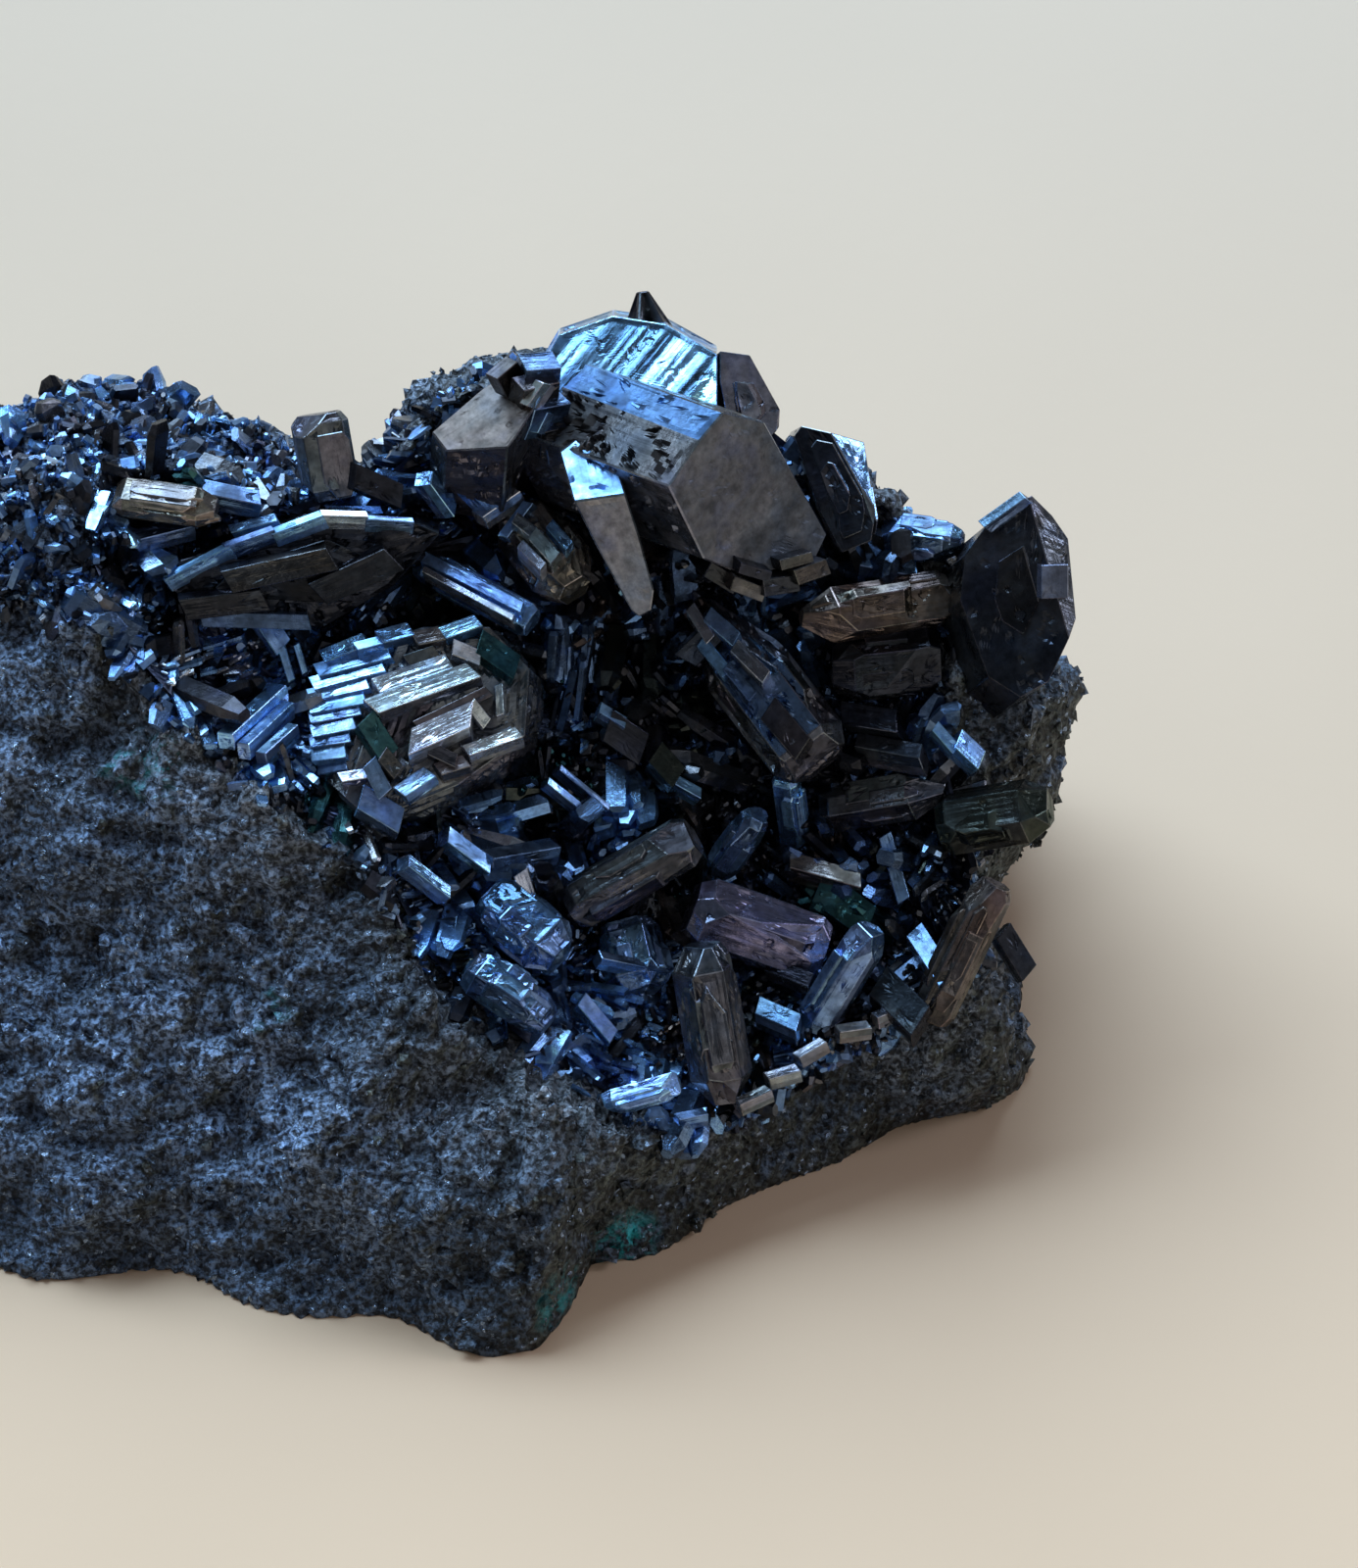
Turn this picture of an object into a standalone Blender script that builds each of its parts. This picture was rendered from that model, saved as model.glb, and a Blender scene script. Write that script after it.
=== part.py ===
"""Chalcocite hand specimen: a sooty granular block of matrix with an open vug full of bladed and stubby crystals.

Everything is measured in millimetres in the display frame, the way the specimen is looked at:
across runs to the right, up runs up the display face, and near comes out of it towards the eye.
The display face leans back by LEAN from the table, so row coordinates are
x = across, y = (up - near) * cos(LEAN), z = (up + near) * sin(LEAN) for a lean of 45 degrees,
moved so that the origin is under the middle of the block. Row units are metres, +Z up.
"""

import math
import random

import bmesh
import bpy
import numpy as np
from mathutils import Matrix, Vector

MM = 0.001
LEAN = math.radians(45.0)
ORIGIN_ACROSS, ORIGIN_DEPTH = -15.30, 30.20   # middle of the block: across the face, and back from the front toe
GAP = 0.32                                  # clearance between a crystal and its socket
SEED = 11

# The block of matrix: flat break faces round a point deep inside it, given in row axes before the origin move.
# Each is an outward direction and a point that the face passes through.
HEART = (-2.0, 40.0, 8.0)
FRONT_RIGHT_FACES = (
    ((0.50, -0.86, 0.07), (6.7, 12.7, 0.0)),       # front right face, nearly upright
)
TOE_FACES = (
    ((0.10, -0.97, 0.20), (-7.0, -0.2, 0.0)),      # front of the toe, which juts out past the front right face
    ((0.93, -0.33, 0.15), (-2.3, 1.8, 0.0)),       # right side of the toe
)
BREAK_FACES = (
    ((-0.20, -0.76, 0.62), (-8.0, 0.0, 0.0)),      # front left face, which leans back
    ((0.38, -0.62, 0.69), (26.0, 36.0, 25.4)),     # bevel between the vug's mouth and the right end
    ((0.97, -0.10, -0.05), (29.4, 28.0, 6.0)),     # right end
    ((0.86, 0.42, 0.25), (30.5, 42.0, 20.0)),      # right shoulder
    ((0.45, 0.74, 0.50), (22.3, 50.2, 28.2)),      # behind the right crystals
    ((0.06, 0.90, 0.42), (2.0, 57.0, 39.5)),       # top of the back
    ((0.02, 0.99, -0.10), (-10.0, 58.0, 14.0)),    # back
    ((-0.10, 0.30, 0.95), (-30.0, 50.0, 40.3)),    # crown of the left mound and of the back
    ((-0.62, -0.05, 0.78), (-50.0, 30.0, 33.0)),   # upper left slope
    ((-0.97, -0.15, 0.10), (-60.0, 26.0, 14.0)),   # left end
    ((-0.72, -0.62, 0.30), (-52.0, 12.0, 9.0)),    # left front corner
    ((-0.60, 0.78, 0.10), (-53.0, 48.0, 14.0)),    # left back corner
    ((0.0, 0.0, -1.0), (0.0, 0.0, -2.4)),          # underside, later trimmed flat at the table
)
EDGE_SHARPNESS = 24.0                       # power of the soft minimum that joins the break faces
LOBES = (
    # across, up, radius, height: swellings and pits of the side that faces the front
    (-34.5, 17.0, 9.0, 2.6),
    (-19.0, 15.5, 7.0, 2.0),
    (-9.0, 9.0, 8.0, 1.4),
    (-26.3, 16.5, 2.6, -2.6),
    (-39.5, 27.0, 4.5, -3.0),
    (-39.0, 50.0, 1.6, -1.8),
    (-22.0, 29.0, 9.0, -1.2),
    (-33.0, 36.0, 8.0, 1.2),
    (-12.0, 17.0, 3.0, -1.0),
    (-2.0, 12.0, 5.0, 1.2),
    (-47.0, 38.0, 9.0, 1.5),
    (-50.0, 18.0, 8.0, 1.8),
    (29.0, 44.5, 5.0, 2.6),
    (-20.5, 66.0, 9.5, -7.5),
    (-28.5, 3.0, 6.5, -3.4),
    (31.0, 32.0, 6.5, -4.5),
    (28.5, 17.0, 5.0, 2.5),
)
LOBE_FALL = 1.5                             # how fast a lobe fades out towards its radius
LOBE_FRONT = -34.0                          # lobes act only on what is nearer than this
LUMP_WAVES = 14
LUMP_LENGTHS = (7.0, 22.0)                  # wavelengths of the lumps
LUMP_HEIGHT = 0.34                          # height of one wave
BASE_SNAP = 0.12                            # what is lower than this belongs to the flat underside
BALL_DIVISIONS = 6                          # of the ball that is drawn out to the block's surface
MATRIX_TRIANGLES = 2900                     # what the block is thinned to

# The vug: its rim as seen from the front, the sloping plane of its mouth, and how it is dished
RIM = (
    (-34.0, 55.0), (-31.0, 48.0), (-26.5, 43.0), (-20.0, 37.7), (-14.3, 34.0), (-11.0, 27.5),
    (-7.0, 23.5), (-2.7, 20.3), (2.7, 17.2), (7.5, 15.8), (11.0, 17.4), (16.7, 21.8), (23.0, 23.9),
    (26.4, 28.0), (26.0, 34.0), (24.5, 40.5), (23.5, 47.5), (25.0, 52.5), (20.0, 56.5), (14.0, 62.0),
    (9.0, 66.0), (0.0, 67.5), (-8.0, 65.0), (-14.0, 59.8), (-20.5, 57.8), (-27.0, 60.3), (-33.0, 60.5),
)
VUG_HEART = (3.0, 42.0)
MOUTH = (-4.1, -0.157, -0.028)              # near = MOUTH[0] + MOUTH[1] * across + MOUTH[2] * up
DISH_DEPTH, DISH_RUN = 8.5, 6.0             # how deep the floor is, and how far in from the rim it takes
RIM_WALL = 2.6                              # steepness of the wall outside the rim line

# The crust: the druse of small crystals that lines the vug
CRUST_THICKNESS, CRUST_LIFT = 3.0, 0.9
CRUST_THINNING, CRUST_RUN = 0.6, 2.5        # share of the thickness lost at the rim, and how far in it is regained
RIPPLE, RIPPLE_PITCH = 0.55, (0.9, 0.8)     # height of the crust's ripples, and radians per millimetre
CRUST_SECTORS, CRUST_RINGS = 32, 5
RING_CROWDING = 0.8                         # under one, the rings crowd towards the rim
DRUSE_COUNT = 58
DRUSE_SPACING, DRUSE_MARGIN = 2.3, 0.8
DRUSE_LENGTH, DRUSE_WIDTH = (3.2, 6.2), (1.1, 2.3)
DRUSE_LEAN = (0.2, 1.0)                     # radians away from straight out of the face
DRUSE_DEPTH = 1.2                           # how deep a small crystal's root sits in the crust

BLANK_SIZE = 120.0                          # the cube that a crystal is cut from
WELD, SLIVER = 0.01, 0.004                  # merge distances of a crystal's corners and of a cut's slivers

ROCK_COLOUR = (0.045, 0.050, 0.060, 1.0)
CRUST_COLOUR = (0.040, 0.055, 0.085, 1.0)
CRYSTAL_COLOURS = {
    "gunmetal": (0.075, 0.073, 0.075, 1.0),
    "steel": (0.13, 0.20, 0.32, 1.0),
    "bronze": (0.12, 0.095, 0.080, 1.0),
    "olive": (0.10, 0.105, 0.080, 1.0),
}


def row_point(across, up, near):
    """Turns a display-frame point in millimetres into row axes, still in millimetres and before the origin move."""
    return np.array((across, up * math.cos(LEAN) - near * math.sin(LEAN),
                     up * math.sin(LEAN) + near * math.cos(LEAN)))


TO_ROW = np.array([row_point(*axis) for axis in np.eye(3)]).T   # columns: across, up, near
ORIGIN = np.array((ORIGIN_ACROSS, ORIGIN_DEPTH, 0.0))


def to_display(points):
    """Row-axis points, in millimetres before the origin move, as (across, up, near)."""
    return points @ TO_ROW


def placed(points):
    """Row-axis points in millimetres as row coordinates in metres, about the final origin."""
    return (np.asarray(points) - ORIGIN) * MM


def unit(vector):
    """The vector at length one."""
    vector = np.asarray(vector, float)
    return vector / np.linalg.norm(vector)


def inside_rim(across, up):
    """Signed distance from the rim outline, in millimetres, positive inside the vug."""
    start = np.array(RIM)
    side = np.roll(start, -1, axis=0) - start
    to_point = np.stack([across, up], -1)[:, None, :] - start
    share = np.clip((to_point * side).sum(-1) / (side * side).sum(-1), 0, 1)
    gap = np.linalg.norm(to_point - share[..., None] * side, axis=-1).min(1)
    above = start[:, 1] > up[:, None]
    next_above = np.roll(start[:, 1], -1) > up[:, None]
    reach = start[:, 0] + (up[:, None] - start[:, 1]) * side[:, 0] / np.where(side[:, 1] == 0, 1e-9, side[:, 1])
    crossings = ((above != next_above) & (across[:, None] < reach)).sum(1)
    return np.where(crossings % 2 == 1, gap, -gap)


def vug_floor(across, up):
    """Nearness of the vug's floor over a point of the face: a rounded dish under the mouth plane."""
    depth_in = np.maximum(inside_rim(across, up), 0)
    mouth = MOUTH[0] + MOUTH[1] * across + MOUTH[2] * up
    return mouth - DISH_DEPTH * (1.0 - np.exp(-depth_in / DISH_RUN))


def dish(across, up):
    """The vug's floor with the steep wall that stands round it outside the rim."""
    return vug_floor(across, up) + RIM_WALL * np.maximum(-inside_rim(across, up), 0)


def lumps(points):
    """Rounded unevenness of the break faces: a sum of plane waves in seeded directions, in millimetres."""
    dice = np.random.default_rng(SEED)
    directions = dice.normal(size=(LUMP_WAVES, 3))
    directions /= np.linalg.norm(directions, axis=1)[:, None]
    lengths = dice.uniform(*LUMP_LENGTHS, size=LUMP_WAVES)
    phases = dice.uniform(0, 2 * math.pi, size=LUMP_WAVES)
    return LUMP_HEIGHT * np.sin(2 * math.pi * points @ directions.T / lengths + phases).sum(1)


def convex_radius(rays, faces):
    """How far a convex body reaches from the heart along each ray: a soft minimum over its faces."""
    heart = np.array(HEART)
    normals = np.array([unit(normal) for normal, _ in faces])
    reach = np.array([normal @ (np.array(point) - heart) for normal, (_, point) in zip(normals, faces)])
    closeness = np.maximum(rays @ normals.T, 0.0) / reach
    return (closeness ** EDGE_SHARPNESS).sum(1) ** (-1.0 / EDGE_SHARPNESS)


def block_radius(rays):
    """How far the block reaches: the body behind the front right face, or the toe that juts out past it."""
    body = convex_radius(rays, BREAK_FACES + FRONT_RIGHT_FACES)
    toe = convex_radius(rays, BREAK_FACES + TOE_FACES)
    return np.maximum(body, toe)


def block_surface(rays):
    """Points of the finished rock along rays from its heart: break faces, lumps, lobes, vug and flat base."""
    heart = np.array(HEART)
    radius = block_radius(rays)
    points = heart + rays * radius[:, None]
    across, up, near = to_display(points).T
    radius = radius + lumps(points)
    for lobe_across, lobe_up, lobe_radius, height in LOBES:
        away = ((across - lobe_across) ** 2 + (up - lobe_up) ** 2) / lobe_radius ** 2
        radius = radius + np.where(near > LOBE_FRONT, height * np.exp(-away * LOBE_FALL), 0.0)
    radius = np.minimum(radius, heart[2] / np.maximum(-rays[:, 2], 1e-6))
    across, up, near = to_display(heart + rays * radius[:, None]).T
    near = np.minimum(near, dish(across, up))
    points = np.column_stack([across, up, near]) @ TO_ROW.T
    points[:, 2] = np.maximum(points[:, 2], 0.0)
    return points


def material(name, colour, roughness, metallic):
    """A plain Principled material."""
    made = bpy.data.materials.get(name) or bpy.data.materials.new(name)
    made.use_nodes = True
    shader = made.node_tree.nodes["Principled BSDF"]
    shader.inputs["Base Color"].default_value = colour
    shader.inputs["Roughness"].default_value = roughness
    shader.inputs["Metallic"].default_value = metallic
    return made


def new_object(name, shape, look=None):
    """An object of that name made from a bmesh, which it frees."""
    mesh = bpy.data.meshes.new(name)
    shape.to_mesh(mesh)
    shape.free()
    made = bpy.data.objects.new(name, mesh)
    bpy.context.scene.collection.objects.link(made)
    if look:
        mesh.materials.append(look)
    return made


def apply_modifiers(target):
    """Replaces the object's mesh by its evaluated one."""
    graph = bpy.context.evaluated_depsgraph_get()
    mesh = bpy.data.meshes.new_from_object(target.evaluated_get(graph))
    target.modifiers.clear()
    target.data = mesh


def boolean(target, other, operation):
    """Applies one exact Boolean to the target."""
    modifier = target.modifiers.new(operation.lower(), "BOOLEAN")
    modifier.operation, modifier.solver, modifier.object = operation, "EXACT", other
    modifier.use_self = True
    apply_modifiers(target)


def boxes_meet(one, other):
    """Whether the boxes of two objects come within the gap of each other."""
    corners = [np.array([vertex.co for vertex in thing.data.vertices]) for thing in (one, other)]
    spread = GAP * MM
    return bool(np.all(corners[0].min(0) < corners[1].max(0) + spread)
                and np.all(corners[1].min(0) < corners[0].max(0) + spread))


def remove(thing):
    """Deletes an object that was only a tool."""
    bpy.data.objects.remove(thing)


def keep_largest_shell(target):
    """Drops the chips that a cut leaves loose: only the shell with most faces stays."""
    shape = bmesh.new()
    shape.from_mesh(target.data)
    unseen = set(shape.faces)
    shells = []
    while unseen:
        shell, front = set(), [unseen.pop()]
        while front:
            face = front.pop()
            shell.add(face)
            for edge in face.edges:
                for neighbour in edge.link_faces:
                    if neighbour in unseen:
                        unseen.remove(neighbour)
                        front.append(neighbour)
        shells.append(shell)
    shells.sort(key=len)
    for shell in shells[:-1]:
        bmesh.ops.delete(shape, geom=list(shell), context="FACES")
    shape.to_mesh(target.data)
    shape.free()


def tidy(target):
    """Merges slivers that the Booleans leave, and splits faces of many sides."""
    shape = bmesh.new()
    shape.from_mesh(target.data)
    bmesh.ops.remove_doubles(shape, verts=shape.verts, dist=SLIVER * MM)
    bmesh.ops.dissolve_degenerate(shape, edges=shape.edges, dist=SLIVER * MM)
    bmesh.ops.triangulate(shape, faces=[face for face in shape.faces if len(face.verts) > 4])
    shape.to_mesh(target.data)
    shape.free()


def build_matrix():
    """The block of sooty matrix with its vug, as an icosphere drawn out to the rock's surface and thinned."""
    shape = bmesh.new()
    bmesh.ops.create_icosphere(shape, subdivisions=BALL_DIVISIONS, radius=1.0)
    rays = np.array([vertex.co.normalized() for vertex in shape.verts])
    for vertex, point in zip(shape.verts, placed(block_surface(rays))):
        vertex.co = point
    rock = new_object("matrix", shape, material("matrix", ROCK_COLOUR, 0.7, 0.3))
    thinner = rock.modifiers.new("thin", "DECIMATE")
    thinner.ratio = MATRIX_TRIANGLES / len(rock.data.polygons)
    apply_modifiers(rock)
    for vertex in rock.data.vertices:
        if vertex.co.z < BASE_SNAP * MM:
            vertex.co.z = 0.0
    return rock


def grown_copy(source, gap):
    """A copy of a closed mesh swollen outwards by the gap, to cut its neighbours with."""
    shape = bmesh.new()
    shape.from_mesh(source.data)
    shape.normal_update()
    moved = [vertex.co + vertex.normal * gap * MM for vertex in shape.verts]
    for vertex, place in zip(shape.verts, moved):
        vertex.co = place
    return new_object(source.name + "_grown", shape)


def crust_level(across, up):
    """Nearness of the top of the crust over points of the face: thin at the rim, and rippled."""
    across, up = np.atleast_1d(np.asarray(across, float)), np.atleast_1d(np.asarray(up, float))
    depth_in = np.maximum(inside_rim(across, up), 0.0)
    thick = CRUST_THICKNESS * (1.0 - CRUST_THINNING * np.exp(-depth_in / CRUST_RUN))
    ripple = RIPPLE * np.sin(across * RIPPLE_PITCH[0]) * np.sin(up * RIPPLE_PITCH[1])
    return vug_floor(across, up) + thick + ripple * np.minimum(depth_in / CRUST_RUN, 1.0)


class Crystal:
    """A crystal as the room that its faces leave: outward normals and their distances from a centre, in the display frame."""

    def __init__(self, centre, faces):
        self.centre = np.asarray(centre, float)
        self.faces = [(unit(normal), distance) for normal, distance in faces]

    def add_solid(self, shape, grow=0.0):
        """Cuts a block down to the crystal's faces, each moved out by grow, and adds it to the bmesh."""
        block = bmesh.new()
        bmesh.ops.create_cube(block, size=BLANK_SIZE * MM)
        for normal, distance in self.faces:
            outward = Vector(TO_ROW @ normal)
            cut = bmesh.ops.bisect_plane(
                block, geom=block.verts[:] + block.edges[:] + block.faces[:], dist=1e-8,
                plane_co=outward * (distance + grow) * MM, plane_no=outward, clear_outer=True)
            rim = [item for item in cut["geom_cut"] if isinstance(item, bmesh.types.BMEdge)]
            if rim:
                bmesh.ops.contextual_create(block, geom=rim)
        bmesh.ops.remove_doubles(block, verts=block.verts, dist=WELD * MM)
        bmesh.ops.recalc_face_normals(block, faces=block.faces)
        block.transform(Matrix.Translation(Vector(placed(TO_ROW @ self.centre))))
        scrap = bpy.data.meshes.new("scrap")
        block.to_mesh(scrap)
        block.free()
        shape.from_mesh(scrap)
        bpy.data.meshes.remove(scrap)

    def holds(self, points, margin):
        """Which display-frame points lie in the crystal or within the margin of its faces."""
        local = np.atleast_2d(points) - self.centre
        return np.all([local @ normal < distance + margin for normal, distance in self.faces], axis=0)


def crystal_axes(along, facing):
    """Right-angled axes of a crystal: its length, its side, and its broad face's outward direction."""
    along = unit(along)
    facing = np.asarray(facing, float)
    facing = unit(facing - along * (facing @ along))
    return along, np.cross(facing, along), facing


def prism(root, tip, facing, width, thickness, flat=0.55, edge=0.0, tip_cut=(1.2, 0.6), root_cut=(0.8, 0.8),
          rise=3.0, lift=0.0):
    """A six or eight sided crystal that stands in the crust.

    root and tip are seen from the front; rise is how much nearer the tip is than the root; lift raises the root
    above the crust's top. flat is the broad face's share of the width and edge the side face's share of the
    thickness. tip_cut and root_cut give the length of the end bevels and the share of the section they leave.
    """
    root_near = float(crust_level(*root)[0]) + lift
    start, end = np.array((*root, root_near)), np.array((*tip, root_near + rise))
    along, side, facing = crystal_axes(end - start, facing)
    half_length = np.linalg.norm(end - start) / 2
    half_width, half_thick = width / 2, thickness / 2
    broad, corner = half_width * flat, half_thick * edge
    rounds = [(facing, half_thick), (-facing, half_thick)]
    if edge > 0:
        rounds += [(side, half_width), (-side, half_width)]
    slant = unit((half_thick - corner, half_width - broad))
    reach = slant @ (broad, half_thick)
    rounds += [(s * slant[0] * side + f * slant[1] * facing, reach) for s in (1, -1) for f in (1, -1)]
    faces = list(rounds) + [(along, half_length), (-along, half_length)]
    for sign, (length, share) in ((1, tip_cut), (-1, root_cut)):
        if share >= 1:
            continue
        for normal, distance in rounds:
            bevel = unit(length * normal + distance * (1 - share) * sign * along)
            faces.append((bevel, bevel @ (distance * normal + (half_length - length) * sign * along)))
    return Crystal((start + end) / 2, faces)


def seen(outline, stand, depth, facing=(0, 0, 1), along=(0, 0, 1), cuts=()):
    """A crystal given by the convex outline of its front face, as seen from the front, clockwise or not.

    stand is how far the middle of the front face stands over the crust; depth is how far the crystal runs back
    along its axis. cuts are further faces, each an outward direction and a point seen from the front that the
    face passes through on the front face's plane.
    """
    corners = np.array(outline, float)
    middle = corners.mean(0)
    facing, along = unit(facing), unit(along)
    near = float(crust_level(*middle)[0]) + stand
    centre = np.array((*middle, near))

    def on_front(point):
        """The display-frame point of the front plane seen at that place, counted from the centre."""
        flat = np.asarray(point, float) - middle
        return np.array((*flat, -(facing[0] * flat[0] + facing[1] * flat[1]) / facing[2]))

    faces = [(facing, 0.0), (-along, depth)]
    around = [on_front(corner) for corner in corners]
    for here, there in zip(around, around[1:] + around[:1]):
        normal = unit(np.cross(there - here, along))
        if normal @ here < 0:
            normal = -normal
        faces.append((normal, normal @ here))
    for direction, point in cuts:
        direction = unit(direction)
        faces.append((direction, direction @ on_front(point)))
    return Crystal(centre, faces)


SKY = (-0.2, 0.64, 0.74)           # the tilt of broad faces that look up and back
SKY_LEFT = (-0.45, 0.55, 0.70)     # the same, turned to the left


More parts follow.
